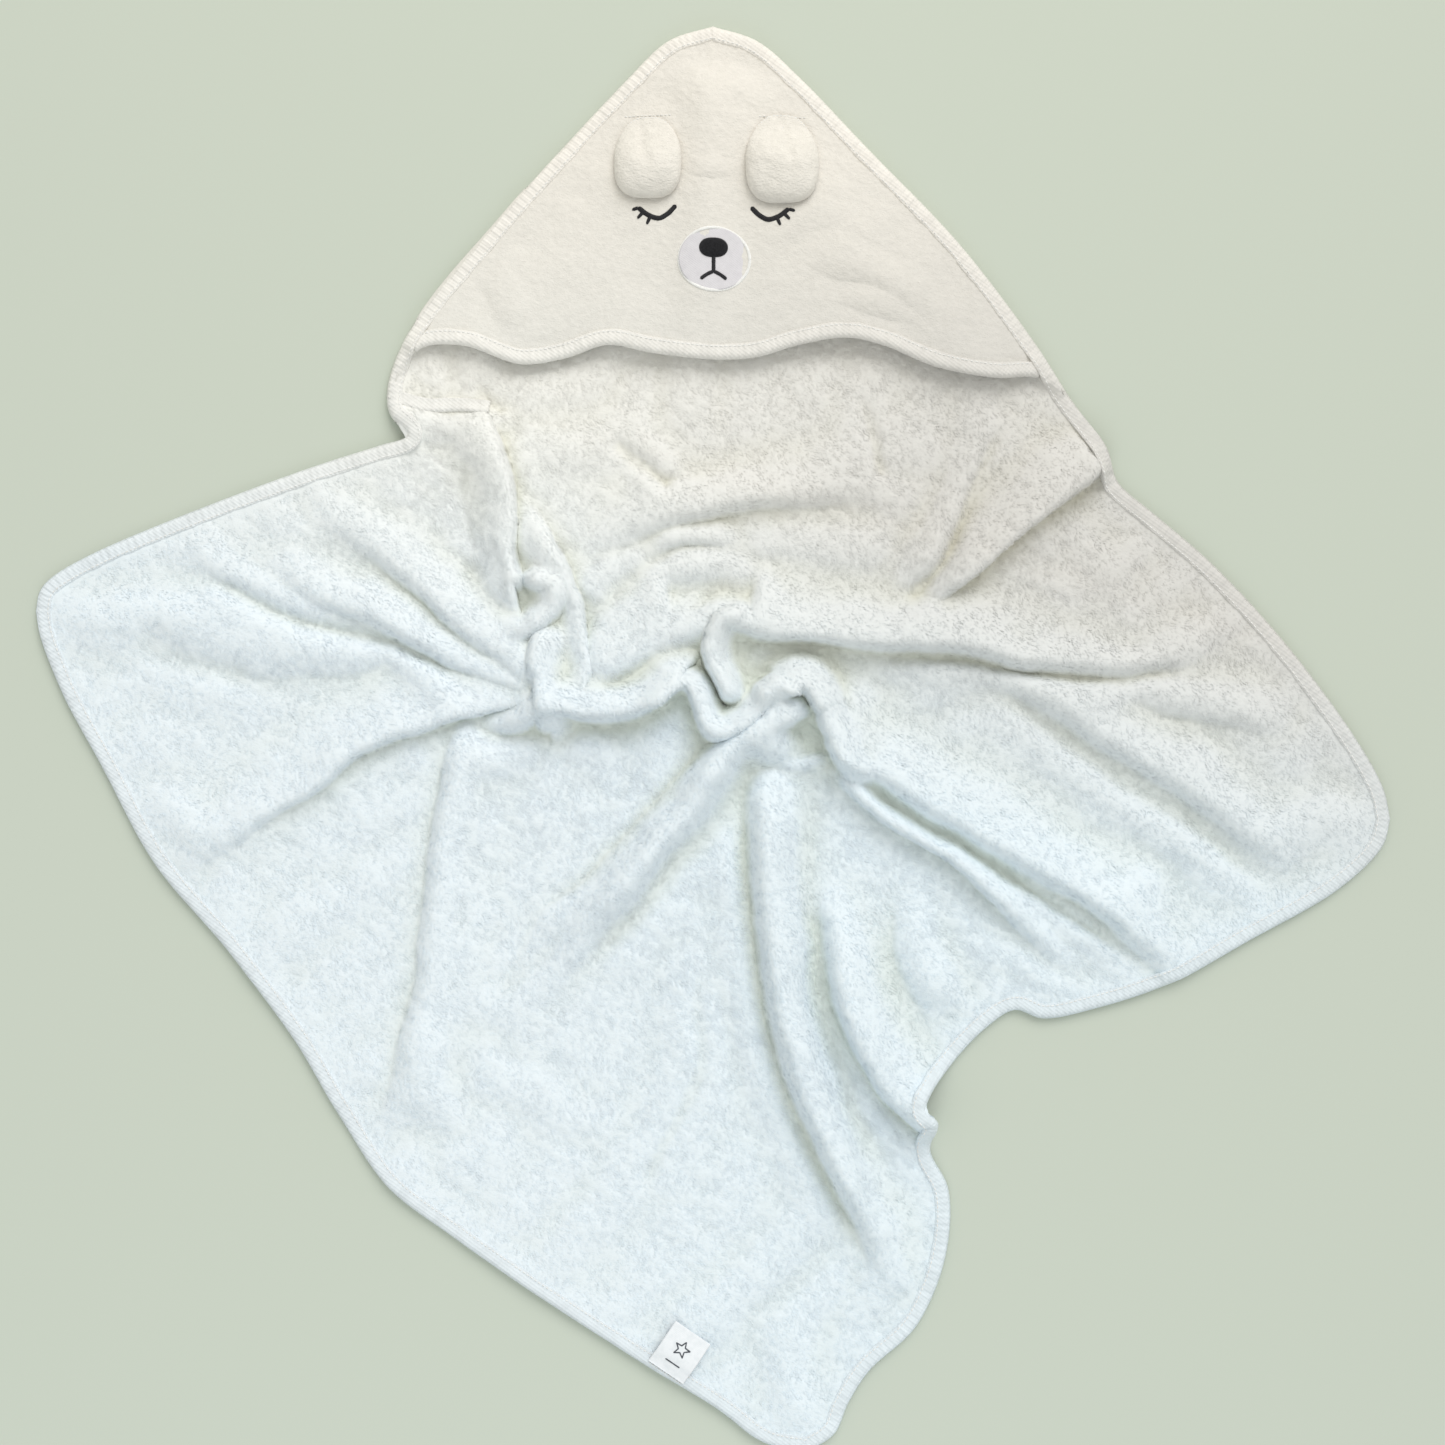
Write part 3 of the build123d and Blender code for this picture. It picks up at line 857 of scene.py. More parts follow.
def pile_object(name, points, seed, keep, shade_marks):
    """Tufts of pile standing on a grid of points: small tapered tongues that lean together in clumps."""
    rng = np.random.default_rng(SEED + seed)
    rows, columns = points.shape[:2]
    normal = grid_normals(points)
    across = rng.uniform(0, rows - 1.001, TOWEL_TUFTS)
    along = rng.uniform(0, columns - 1.001, TOWEL_TUFTS)
    i, j = across.astype(int), along.astype(int)
    fi, fj = (across - i)[:, None], (along - j)[:, None]

    def at(values):
        """A grid's values at the tufts' roots."""
        first = values[i, j] * (1 - fi) + values[i + 1, j] * fi
        second = values[i, j + 1] * (1 - fi) + values[i + 1, j + 1] * fi
        return first * (1 - fj) + second * fj

    root, up, shade_mark = at(points), at(normal), at(shade_marks[..., None])
    kept = keep[i, j]
    root, up, shade_mark = root[kept], up[kept], shade_mark[kept]
    number = len(root)
    x, y = root[:, 0], root[:, 1]
    turn = TUFT_LEAN + noise(x, y, 14 * MM, seed, 2) * 0.6 + rng.normal(0, 0.45, number)
    tilt = TUFT_TILT + noise(x, y, 8 * MM, seed + 1) * 0.1 + rng.normal(0, 0.1, number)
    flat = np.stack([np.cos(turn), np.sin(turn), np.zeros(number)], axis=1)
    flat -= up * (flat * up).sum(1, keepdims=True)
    flat = unit(flat)
    way = up * np.cos(tilt)[:, None] + flat * np.sin(tilt)[:, None]
    side = unit(np.cross(way, up))
    reach = TUFT_LENGTH * rng.uniform(0.7, 1.3, number)[:, None]
    breadth = TUFT_WIDTH * rng.uniform(0.7, 1.3, number)[:, None]
    droop = flat * reach * 0.22 - up * reach * 0.12
    base = root - up * TUFT_ROOT
    bend = root + way * reach * 0.55
    tip = root + way * reach + droop
    rings = [base - side * breadth * 0.4, base + side * breadth * 0.4]
    rings += [bend + side * breadth * 0.5, bend - side * breadth * 0.5]
    rings += [tip + side * breadth * 0.12, tip - side * breadth * 0.12]
    vertices = np.stack(rings, axis=1).reshape(-1, 3)
    start = np.arange(number)[:, None] * len(rings)
    faces = np.concatenate([start + np.array([0, 1, 2, 3]), start + np.array([3, 2, 4, 5])])
    piece = new_object(name, vertices, faces)
    facing = np.cross(side, way)
    facing *= np.sign((facing * up).sum(1, keepdims=True))
    soft = unit(up * (1 - TUFT_RELIEF) + facing * TUFT_RELIEF)
    piece.data.normals_split_custom_set_from_vertices(np.repeat(soft, len(rings), axis=0).tolist())
    store_painted_shade(piece, np.repeat(shade_mark, len(rings)))
    return piece


# ---------------------------------------------------------------- tape and stitches
NORMAL_CALM = 6
RIB_PITCH = 5 * MM
RIB_HEIGHT = 0.6 * MM
TAPE_BRIDGE = 5
TAPE_CALM = 10
TAPE_FALL = 1.4 * MM
# The tape's section: how far in each line lies, its rise above the cloth and how much it puckers
TAPE_INSETS = (TAPE_WIDTH, 9.6 * MM, 8.3 * MM, 6.0 * MM, 3.2 * MM, 0.8 * MM)
TAPE_RISES = (0.0, 0.75 * MM, 0.55 * MM, 1.05 * MM, 1.15 * MM, 0.8 * MM)
TAPE_SWAYS = (0.0, 0.7, 0.5, 1.0, 1.0, 0.7)
UNDER_INSETS = (1.5 * MM, 5.5 * MM, 9.6 * MM)
# The stitch's section: its places from end to end, and its girth at each
STITCH_RINGS = (-1.0, -0.7, 0.0, 0.7, 1.0)
STITCH_GIRTHS = (0.25, 0.85, 1.0, 0.85, 0.25)


def outward_normals(line, closed):
    """Unit normals on the left of a line, calmed along it."""
    if closed:
        tangent = np.roll(line, -1, 0) - np.roll(line, 1, 0)
    else:
        tangent = np.gradient(line, axis=0)
    left = unit(np.stack([-tangent[:, 1], tangent[:, 0]], axis=1))
    for _ in range(NORMAL_CALM):
        if closed:
            left = (np.roll(left, 1, 0) + left + np.roll(left, -1, 0)) / 3
        else:
            left[1:-1] = (left[:-2] + left[1:-1] + left[2:]) / 3
    return unit(left)


def calm_line(values, times):
    """Values along a line, averaged with their neighbours a number of times, its ends kept."""
    for _ in range(times):
        values[1:-1] = (values[:-2] + values[1:-1] * 2 + values[2:]) / 4
    return values


def tape_object(name, edge, inward, height, under, closed, seed):
    """Bias tape folded over an edge: a closed band on top, round the edge and back below.

    edge is the line of the cloth's edge, with heights; inward points into the cloth; height is the
    surface that it lies on; under gives its lower half's height from the edge's height.
    """
    count = len(edge)
    steps = np.linalg.norm(np.diff(edge, axis=0), axis=1)
    reach = np.concatenate([[0.0], np.cumsum(steps)])
    phase = noise(reach, reach * 0 + 2, 22 * MM, seed + 2) * 3.0
    ribs = np.sin(2 * np.pi * reach / RIB_PITCH + phase)
    pucker = (noise(reach, reach * 0, 2.4 * MM, seed) * 0.5 + ribs * 0.5) * RIB_HEIGHT
    swell = noise(reach, reach * 0 + 1, 9 * MM, seed + 1) * 0.45 * MM
    upper = []
    for inset, rise, sway in zip(TAPE_INSETS, TAPE_RISES, TAPE_SWAYS):
        place = edge[:, :2] + inward * (inset + swell * (inset > 5 * MM))[:, None]
        level = np.array([height(*p) or e for p, e in zip(place, edge[:, 2])])
        beside = np.pad(level, TAPE_BRIDGE, mode="edge")
        level = np.max([beside[k : k + count] for k in range(2 * TAPE_BRIDGE + 1)], axis=0)
        level = calm_line(level, TAPE_CALM)
        upper.append(np.column_stack([place, level + rise + pucker * sway]))
    upper[-1][:, 2] = np.maximum(upper[-1][:, 2], upper[-2][:, 2] - TAPE_FALL)
    rim_out = edge[:, :2] - inward * (TAPE * 1.1)
    below = under(edge[:, 2])
    lower = [np.column_stack([edge[:, :2] + inward * inset, below]) for inset in UNDER_INSETS]
    rim = np.column_stack([rim_out, (upper[-1][:, 2] + lower[0][:, 2]) / 2])
    section = np.stack(upper + [rim] + lower, axis=1)
    wide = section.shape[1]
    points = section.reshape(-1, 3)
    if closed:
        section = np.concatenate([section, section[:1]], axis=0)
        faces = grid_faces(count + 1, wide, wrap=True)
        faces = faces % (count * wide)
    else:
        faces = grid_faces(count, wide, wrap=True)
        caps = np.arange(wide)
        middle = [section[0].mean(0), section[-1].mean(0)]
        points = np.concatenate([points, middle])
        ends = []
        for row, apex in ((0, count * wide), (count - 1, count * wide + 1)):
            ring = row * wide + caps
            ends += [[int(a), int(b), apex] for a, b in zip(ring, np.roll(ring, -1))]
        faces = faces.tolist() + ends
    return new_object(name, points, faces)


def stitches(name, line, height, closed=False, pitch=STITCH_PITCH, long=STITCH_LENGTH):
    """A row of separate stitches along a line of places, lying on a surface."""
    if closed:
        line = np.concatenate([line, line[:1]])
    number = int(length_of(line) / pitch)
    places = resample(line, number * 4 + 1)
    around = np.linspace(0, 2 * np.pi, 6, endpoint=False)
    vertices, faces = [], []
    rng = np.random.default_rng(SEED + 50)
    for k in range(number):
        centre = places[4 * k + 2]
        ahead = places[4 * k + 4] - places[4 * k]
        ahead /= np.linalg.norm(ahead)
        ahead = ahead + rng.normal(0, 0.05, 2)
        side = np.array([-ahead[1], ahead[0]])
        level = height(*centre)
        if level is None:
            continue
        start = len(vertices)
        for along, girth in zip(STITCH_RINGS, STITCH_GIRTHS):
            spot = centre + ahead * along * long / 2
            arch = STITCH_RADIUS * (0.9 - 1.2 * along**2)
            for turn in around:
                across = np.cos(turn) * STITCH_RADIUS * girth
                up = np.sin(turn) * STITCH_RADIUS * girth
                vertices.append([*(spot + side * across), level + arch + up])
        faces.append(grid_faces(len(STITCH_RINGS), len(around), start, wrap=True))
        for ring in (0, len(STITCH_RINGS) - 1):
            base = start + ring * len(around)
            faces.append(np.array([[0, 1, 2, 3], [0, 3, 4, 5]]) + base)
    return new_object(name, vertices, np.concatenate(faces))


def finish_piece(obj, look, slot, body, *nodes):
    """Gives a piece its material, the body that it rides and the CAD nodes that it stands for; the slot is
    not used.
    """
    obj.data.materials.append(look)
    if body:
        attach(obj, body)
    if nodes:
        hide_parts(*nodes)


# ---------------------------------------------------------------- camera, light and floor
CAMERA_PLACE = (0.0059, 0.0119, 1.433)
SENSOR_WIDTH = 36
LENS = 50
FLOOR_REACH = 9.0
KEY_SPREAD = 38


def add_camera():
    """A camera that looks straight down."""
    data = bpy.data.cameras.new("camera")
    data.sensor_width = SENSOR_WIDTH
    data.lens = LENS
    camera = bpy.data.objects.new("camera", data)
    bpy.context.scene.collection.objects.link(camera)
    camera.location = CAMERA_PLACE
    camera.rotation_euler = (0, 0, 0)
    bpy.context.scene.camera = camera


def add_light(name, kind, place, power, colour):
    """A light that shines from a place towards the origin."""
    data = bpy.data.lights.new(name, kind)
    data.energy = power
    data.color = colour
    light = bpy.data.objects.new(name, data)
    light.location = place
    light.rotation_euler = Vector(place).to_track_quat("Z", "Y").to_euler()
    bpy.context.scene.collection.objects.link(light)
    return data


def add_disk(name, place, size, power, colour):
    """A round lamp."""
    lamp = add_light(name, "AREA", place, power, colour)
    lamp.shape = "DISK"
    lamp.size = size


def add_floor():
    """A plain pale floor."""
    floor = square_object("floor", FLOOR_REACH)
    made = bpy.data.materials.new("floor")
    made.use_nodes = True
    shader = made.node_tree.nodes["Principled BSDF"]
    shader.inputs["Base Color"].default_value = (0.588, 0.64, 0.562, 1)
    shader.inputs["Roughness"].default_value = 1.0
    shader.inputs["Specular IOR Level"].default_value = 0.0
    floor.data.materials.append(made)


def add_world():
    """Even light from all round."""
    world = bpy.data.worlds.new("studio")
    world.use_nodes = True
    sky = world.node_tree.nodes["Background"]
    sky.inputs["Color"].default_value = (1.0, 0.99, 0.93, 1)
    sky.inputs["Strength"].default_value = 0.62
    bpy.context.scene.world = world


add_camera()
key = add_light("key", "SUN", (0.5, 1.0, 0.95), 1.22, (0.965, 0.97, 1.0))
key.angle = np.radians(KEY_SPREAD)
add_disk("warm_top", (0.1, 1.3, 1.2), 1.0, 5, (1.0, 0.95, 0.82))
add_disk("cool_foot", (-0.1, -1.5, 1.2), 1.2, 5, (0.80, 0.93, 1.0))
add_world()
add_floor()
bpy.context.scene.view_settings.view_transform = "Standard"

# ---------------------------------------------------------------- the towel
STREAK_HEIGHT = 0.55 * MM
LOOP_HEIGHT = 0.35 * MM
PILE_START = 6 * MM
PILE_RAMP = 8 * MM

middle, edge_gap = towel_middle()
middle = settle(middle, edge_gap)
towel_x, towel_y = middle[..., 0], middle[..., 1]
pile = streaks(towel_x, towel_y, 11 * MM, 5 * MM, -0.5, 20) * STREAK_HEIGHT
pile += noise(towel_x, towel_y, 3.4 * MM, 21) * LOOP_HEIGHT
pile *= smoothstep((edge_gap - PILE_START) / PILE_RAMP)
towel = sheet_object("towel_sheet", middle, TERRY, pile)
finish_piece(towel, TERRY_LOOK, "terry", "towel", "towel_body", "towel_head_corner")
towel_height = surface_of(towel)
towel_top = middle + grid_normals(middle) * (TERRY / 2)
# The weight of the painted crease shade, kept on the towel and on its tufts
hollows = painted_shade_weight(middle)
store_painted_shade(towel, np.concatenate([hollows.ravel(), hollows.ravel()]))
towel_pile = pile_object("towel_pile", towel_top, 90, edge_gap > TAPE_WIDTH, hollows)
finish_piece(towel_pile, TUFT_LOOK, "terry", "towel")

# ---------------------------------------------------------------- the hood
SEAM_INSET = 2.5 * MM
TIP_SHARE = 0.10
HOOD_CALM = 60
HOOD_REST = 1.3 * MM
HOOD_LOFT = 7.5 * MM
HOOD_LOFT_REACH = 60 * MM
WAVED_SHARE = 0.28
# The hood's unevenness: the size and height of each layer of waves and how far in they grow, in millimetres
HOOD_WAVES = ((70, 1.6, 30), (26, 0.5, 20))
# How the hood's opening spreads from its sewn sides: still within SEWN of them, then rising over a ramp
# that grows from the tip towards the front
SEWN = 8 * MM
RAMP = 9 * MM
RAMP_TOP = 0.44
RAMP_GROWTH = 0.28
# The waves of the hood's front edge: the height of each in millimetres, its place along X and its width
FRONT_WAVES = ((4.5, -0.205, 0.035), (5.0, 0.095, 0.05), (2.5, -0.065, 0.03), (2.0, 0.2, 0.03))


def seam(points, last, count, side):
    """One side seam of the hood, from its front corner to near the tip."""
    line = smooth_line(points)
    stop = np.argmin(((line - np.array(last)) ** 2).sum(1))
    begin = int(stop * TIP_SHARE)
    inward = outward_normals(line, False) * side
    inset = line + inward * SEAM_INSET
    return resample(inset[begin : stop + 1][::-1], count), inset[: begin + 1]


hood_rows, hood_columns = HOOD_GRID
right_seam, tip_right = seam(TIP_TO_RIGHT, HOOD_RIGHT, hood_rows, -1)
left_seam, tip_left = seam(TIP_TO_LEFT, HOOD_LEFT, hood_rows, 1)
front = smooth_line(HOOD_FRONT)
front[0], front[-1] = left_seam[0], right_seam[0]
front = resample(front, hood_columns)
top = resample(np.concatenate([tip_left[::-1], tip_right]), hood_columns)
hood_grid = patch(front, top, left_seam, right_seam, settle=120)
seams = np.concatenate([left_seam, top, right_seam[::-1]])[::2]
hood_places = hood_grid.reshape(-1, 2)
hx, hy = hood_places.T
gap = gap_to(seams, hood_places)
base = np.array([towel_height(*p) or EDGE_HEIGHT for p in hood_places])
base = calm_grid(base.reshape(hood_rows, hood_columns), HOOD_CALM).reshape(-1)
rise = HOOD_REST + HOOD_LOFT * smoothstep(gap / HOOD_LOFT_REACH)
front_share = np.repeat(np.linspace(1, 0, hood_rows)[:, None], hood_columns, 1).reshape(-1)
front_wave = sum(high * MM * np.exp(-(((hx - middle_x) / wide) ** 2)) for high, middle_x, wide in FRONT_WAVES)
near_front = smoothstep((front_share - 1 + WAVED_SHARE) / WAVED_SHARE)
rise += front_wave * near_front * smoothstep(gap / (14 * MM))
for seed, (size, high, reach) in enumerate(HOOD_WAVES, 30):
    rise += noise(hx, hy, size * MM, seed) * high * MM * smoothstep(gap / (reach * MM))
rise += fold_relief(hood_places, HOOD_FOLDS)[0]
hood_level = base + HOOD_TERRY / 2 + rise
hood_middle = np.column_stack([hood_places, hood_level]).reshape(hood_rows, hood_columns, 3)
hood_pile = noise(hx, hy, 4.0 * MM, 32, 2) * 0.30 * MM + streaks(hx, hy, 8 * MM, 4 * MM, -0.4, 33) * 0.18 * MM
hood_pile *= smoothstep((gap - 5 * MM) / (5 * MM))
hood = sheet_object("hood_panel_sheet", hood_middle, HOOD_TERRY, hood_pile.reshape(hood_rows, hood_columns))
finish_piece(hood, HOOD_LOOK, "hood_terry", None, "hood_panel")
hood_height = surface_of(hood)
cloth_height = surface_of(towel, hood)


def joint_named(name):
    """The frame's record of a joint."""
    return next(joint for joint in frame["joints"] if joint["name"] == name)


def lift_share(obj):
    """Bakes a piece's placing into its mesh and works out how free each of its points is: still at the hood's
    sewn sides, and free in the middle; nothing uses that share.
    """
    pivot = joint_named("hood_opening")["pos_m"]
    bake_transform(obj)
    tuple(pivot)
    co = np.array([v.co for v in obj.data.vertices])[:, :2]
    ramp = RAMP + np.clip(RAMP_TOP - co[:, 1], 0, 1) * RAMP_GROWTH
    share = smoothstep((gap_to(seams, co) - SEWN) / ramp)


# ---------------------------------------------------------------- tape along the hood's front
FRONT_SAMPLES = 420
FRONT_TRIM = 3
STITCH_TRIM = 6

front_line = resample(hood_middle[0], FRONT_SAMPLES)
front_inward = outward_normals(front_line[:, :2], False)
bound = [
    all(cloth_height(*(place[:2] + way * inset)) is not None for inset in (-TAPE, TAPE_WIDTH))
    for place, way in zip(front_line, front_inward)
]
first_bound, last_bound = np.flatnonzero(bound)[[0, -1]]
front_line = front_line[first_bound + FRONT_TRIM : last_bound - FRONT_TRIM]
front_inward = front_inward[first_bound + FRONT_TRIM : last_bound - FRONT_TRIM]


def below_hood(level):
    """Height of the tape's lower half, under the hood's front edge."""
    return level - HOOD_TERRY / 2 - 0.8 * MM


front_tape = tape_object("hood_front_tape", front_line, front_inward, hood_height, below_hood, False, 44)
finish_piece(front_tape, TAPE_LOOK, "binding_tape", None, "hood_front_binding")
front_tape_height = surface_of(front_tape)
front_stitch_line = (front_line[:, :2] + front_inward * STITCH_INSET)[STITCH_TRIM:-STITCH_TRIM]
front_stitches = stitches("hood_front_topstitches", front_stitch_line, front_tape_height)
finish_piece(front_stitches, THREAD_LOOK, "white_thread", None, "hood_front_topstitch")
for piece in (hood, front_tape, front_stitches):
    lift_share(piece)

# ---------------------------------------------------------------- tape round the towel
RIM_SAMPLES = 2800
HEM_DEPTH = 1.6 * MM

rows, columns = middle.shape[:2]
rim = middle.reshape(-1, 3)[border_index(rows, columns)]
rim = resample(np.concatenate([rim, rim[:1]]), RIM_SAMPLES + 1)[:-1]
inward = outward_normals(rim[:, :2], True)
centre = rim[:, :2].mean(0)
if ((centre - rim[:, :2]) * inward).sum() < 0:
    inward = -inward


def below_towel(level):
    """Height of the tape's lower half, under the towel's edge and above the floor."""
    return np.maximum(0.3 * MM, level - TERRY / 2 - 0.9 * MM)


laid_height = surface_of(towel, hood, front_tape)
binding = tape_object("edge_binding_tape", rim, inward, laid_height, below_towel, True, 40)
finish_piece(binding, TAPE_LOOK, "binding_tape", "towel", "edge_binding")
binding_height = surface_of(binding)
hem_line = smooth_line(HEM_TUCK)
hem_line = np.column_stack([hem_line, [towel_height(*p) - HEM_DEPTH for p in hem_line]])
hem_inward = outward_normals(hem_line[:, :2], False)
hem_tape = tape_object("neck_hem_tape", hem_line, hem_inward, towel_height, below_towel, False, 48)
finish_piece(hem_tape, TAPE_LOOK, "binding_tape", "towel")
edge_stitch_line = rim[:, :2] + inward * STITCH_INSET
edge_stitches = stitches("edge_topstitches", edge_stitch_line, binding_height, closed=True)
finish_piece(edge_stitches, THREAD_LOOK, "white_thread", "towel", "edge_topstitch")


# ---------------------------------------------------------------- embroidery
BAND_SECTION = (-1.0, -0.97, -0.75, -0.4, 0.0, 0.4, 0.75, 0.97, 1.0)
BAND_CALM = 20
BAND_SINK = 0.5 * MM
BAND_LIFT = 0.15 * MM
CURVE_STEP = 0.4 * MM
STROKE = 3.5 * MM
LASH_STROKE = 2.7 * MM
LASH_RISE = 0.65 * MM
# The lashes: where each leaves the lid, 0 at its outer end, and its reach in millimetres, out and up
LASHES = ((0.02, (4.5, -1.5)), (0.16, (4.3, -4.6)), (0.34, (2.6, -5.8)))
OVAL_THICK = 0.7 * MM
PATCH_LIFT = 0.5 * MM
BORDER_STROKE = 2.2 * MM
BORDER_RISE = 0.75 * MM
NOSE_SPREAD = 1.1
NOSE_RISE = 1.1 * MM
NOSE_THREADS = 240
NOSE_SECTION = np.linspace(-1, 1, 15)
MOUTH_STROKES = (2.8 * MM, 2.6 * MM)
MOUTH_RISE = 0.6 * MM


def satin_band(line, width, rise, height, thread=0.42 * MM, closed=False, taper=False):
    """A satin-stitched stroke: threads laid side by side across a line."""
    if closed:
        line = np.concatenate([line, line[:1]])
    count = max(8, int(length_of(line) / (thread / 4)))
    path = resample(line, count)
    left = outward_normals(path, False)
    ridge = 0.5 + 0.5 * np.cos(np.arange(count) * np.pi / 2)
    reach = np.linspace(0, 1, count)
    half = np.full(count, width / 2)
    if not closed:
        blunt = np.minimum(reach, 1 - reach) * length_of(line) / (width / 2)
        half *= np.sqrt(np.clip(1 - (1 - np.clip(blunt, 0, 1)) ** 2, 0.05, 1))
    if taper:
        half *= 1 - 0.25 * reach
    half += noise(reach * length_of(line), reach * 0, 0.8 * MM, 60) * 0.06 * MM
    level = calm_line(np.array([height(*p) or 0 for p in path]), BAND_CALM)
    section = []
    for share in BAND_SECTION:
        arch = rise * np.sqrt(max(0.0, 1 - share**2)) * (0.78 + 0.22 * ridge)
        section.append(np.column_stack([path + left * (half * share)[:, None], level + sunk(share) + arch]))
    return np.stack(section, axis=1).reshape(-1, 3), grid_faces(count, len(BAND_SECTION), wrap=True)


def sunk(share):
    """How far a line of a stroke's section lies above the cloth: its outer edges are sunk into it."""
    return -BAND_SINK if abs(share) == 1 else BAND_LIFT


def joined(name, parts):
    """One object from several point and face lists."""
    points, faces, start = [], [], 0
    for part_points, part_faces in parts:
        points.append(part_points)
        faces.append(np.asarray(part_faces) + start)
        start += len(part_points)
    return new_object(name, np.concatenate(points), np.concatenate(faces))


def node_middle(node):
    """The middle and the size of a CAD node's box."""
    low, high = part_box(node)
    return (low + high) / 2, high - low


def eye(name, node, side):
    """A closed eye: a sagging lid line and three lashes at its outer end; side is where the nose is."""
    centre, size = node_middle(node)
    outer = np.array([centre.x - side * size.x * 0.34, centre.y + 3.2 * MM])
    inner = np.array([centre.x + side * size.x * 0.46, centre.y + 4.6 * MM])
    low = np.array([centre.x + side * size.x * 0.10, centre.y - 4.2 * MM])
    outer_bend = (outer + low) / 2 + (0, -1.6 * MM)
    inner_bend = (inner + low) / 2 + (0, -1.4 * MM)
    lid = smooth_line([outer, outer_bend, low, inner_bend, inner], step=CURVE_STEP)
    parts = [satin_band(lid, STROKE, 0.7 * MM, hood_height)]
    for share, reach in LASHES:
        root = lid[int(share * (len(lid) - 1))]
        ending = root + np.array([-side * reach[0], reach[1]]) * MM
        lash = np.linspace(root, ending, 12)
        parts.append(satin_band(lash, LASH_STROKE, LASH_RISE, hood_height, taper=True))
    finish_piece(joined(name, parts), BLACK_LOOK, "black_thread", "hood", node)


eye("left_eye_stitches", "left_eye_embroidery", 1)
eye("right_eye_stitches", "right_eye_embroidery", -1)


def oval_object(name, centre, radii, height, lift, dome):
    """A thin oval disc laid over a surface, closed below."""
    rings, spokes = 26, 96
    shares = np.linspace(0, 1, rings) ** 0.8
    turns = np.linspace(0, 2 * np.pi, spokes, endpoint=False)
    px = centre[0] + np.outer(shares, np.cos(turns)) * radii[0]
    py = centre[1] + np.outer(shares, np.sin(turns)) * radii[1]
    px, py = px.ravel(), py.ravel()
    level = np.array([height(a, b) or 0 for a, b in zip(px, py)])
    fit = np.column_stack([px, py, px**2, py**2, px * py, np.ones(px.size)])
    level = fit @ np.linalg.lstsq(fit, level, rcond=None)[0]
    top = level + lift + dome * (1 - np.repeat(shares, spokes) ** 4)
    upper = np.column_stack([px, py, top])
    lower = np.column_stack([px, py, level + lift - OVAL_THICK])
    faces = grid_faces(rings, spokes, wrap=True)
    below = grid_faces(rings, spokes, rings * spokes, wrap=True)[:, ::-1]
    outer = (rings - 1) * spokes + np.arange(spokes)
    nxt = (rings - 1) * spokes + (np.arange(spokes) + 1) % spokes
    wall = np.stack([outer, outer + rings * spokes, nxt + rings * spokes, nxt], axis=1)
    return new_object(name, np.concatenate([upper, lower]), np.concatenate([faces, below, wall]))


patch_middle, patch_size = node_middle("muzzle_patch")
patch_radii = (patch_size.x / 2, patch_size.y / 2)
muzzle = oval_object("muzzle_applique", patch_middle, patch_radii, hood_height, PATCH_LIFT, PATCH_LIFT)
finish_piece(muzzle, PATCH_LOOK, "patch_cloth", "hood", "muzzle_patch")
muzzle_height = surface_of(muzzle)
turns = np.linspace(0, 2 * np.pi, 240, endpoint=False)
ring = np.column_stack([np.cos(turns), np.sin(turns)]) * patch_radii + patch_middle.xy
border_band = satin_band(ring, BORDER_STROKE, BORDER_RISE, hood_height, closed=True)
border = joined("muzzle_border_stitches", [border_band])
finish_piece(border, THREAD_LOOK, "white_thread", "hood", "muzzle_border_stitch")

nose_middle, nose_size = node_middle("nose_embroidery")


def nose_part():
    """The nose: upright threads side by side that fill an oval, with a rounded back."""
    share = np.linspace(-1, 1, NOSE_THREADS)
    px = nose_middle.x + share * nose_size.x / 2 * NOSE_SPREAD
    reach = np.sqrt(np.clip(1 - np.abs(share) ** 2.6, 0.0, 1)) * nose_size.y / 2
    ridge = 0.85 + 0.15 * np.cos(np.arange(NOSE_THREADS) * np.pi / 2)
    level = np.array([muzzle_height(x, nose_middle.y) for x in px])
    section = []
    for t in NOSE_SECTION:
        arch = NOSE_RISE * np.sqrt(max(0, 1 - t**4)) * np.sqrt(np.clip(1 - share**4, 0, 1)) * ridge
        section.append(np.column_stack([px, nose_middle.y + reach * t, level + sunk(t) + arch]))
    return np.stack(section, axis=1).reshape(-1, 3), grid_faces(NOSE_THREADS, len(NOSE_SECTION), wrap=True)


nose = joined("nose_stitches", [nose_part()])
finish_piece(nose, BLACK_LOOK, "black_thread", "hood", "nose_embroidery")

mouth_low, mouth_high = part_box("mouth_embroidery")
mouth_reach = (mouth_high.x - mouth_low.x) / 2 - 1 * MM
fork = np.array([nose_middle.x, mouth_low.y + 6.5 * MM])
stem = np.linspace((nose_middle.x, mouth_high.y + 1 * MM), fork, 20)
parts = [satin_band(stem, MOUTH_STROKES[0], MOUTH_RISE, muzzle_height)]
for side in (-1, 1):
    corner = np.array([nose_middle.x + side * mouth_reach, mouth_low.y + 1 * MM])
    bend = (fork + corner) / 2 + np.array([0, 0.5 * MM])
    lip = smooth_line([fork, bend, corner], step=CURVE_STEP)
    parts.append(satin_band(lip, MOUTH_STROKES[1], MOUTH_RISE, muzzle_height))
mouth = joined("mouth_stitches", parts)
finish_piece(mouth, BLACK_LOOK, "black_thread", "hood", "mouth_embroidery")


# ---------------------------------------------------------------- backing inside the hood
BACKING_GRID = (63, 43)
BACKING_CALM = 20
BACKING_GAP = 0.35 * MM
BACKING_THICK = 0.4 * MM


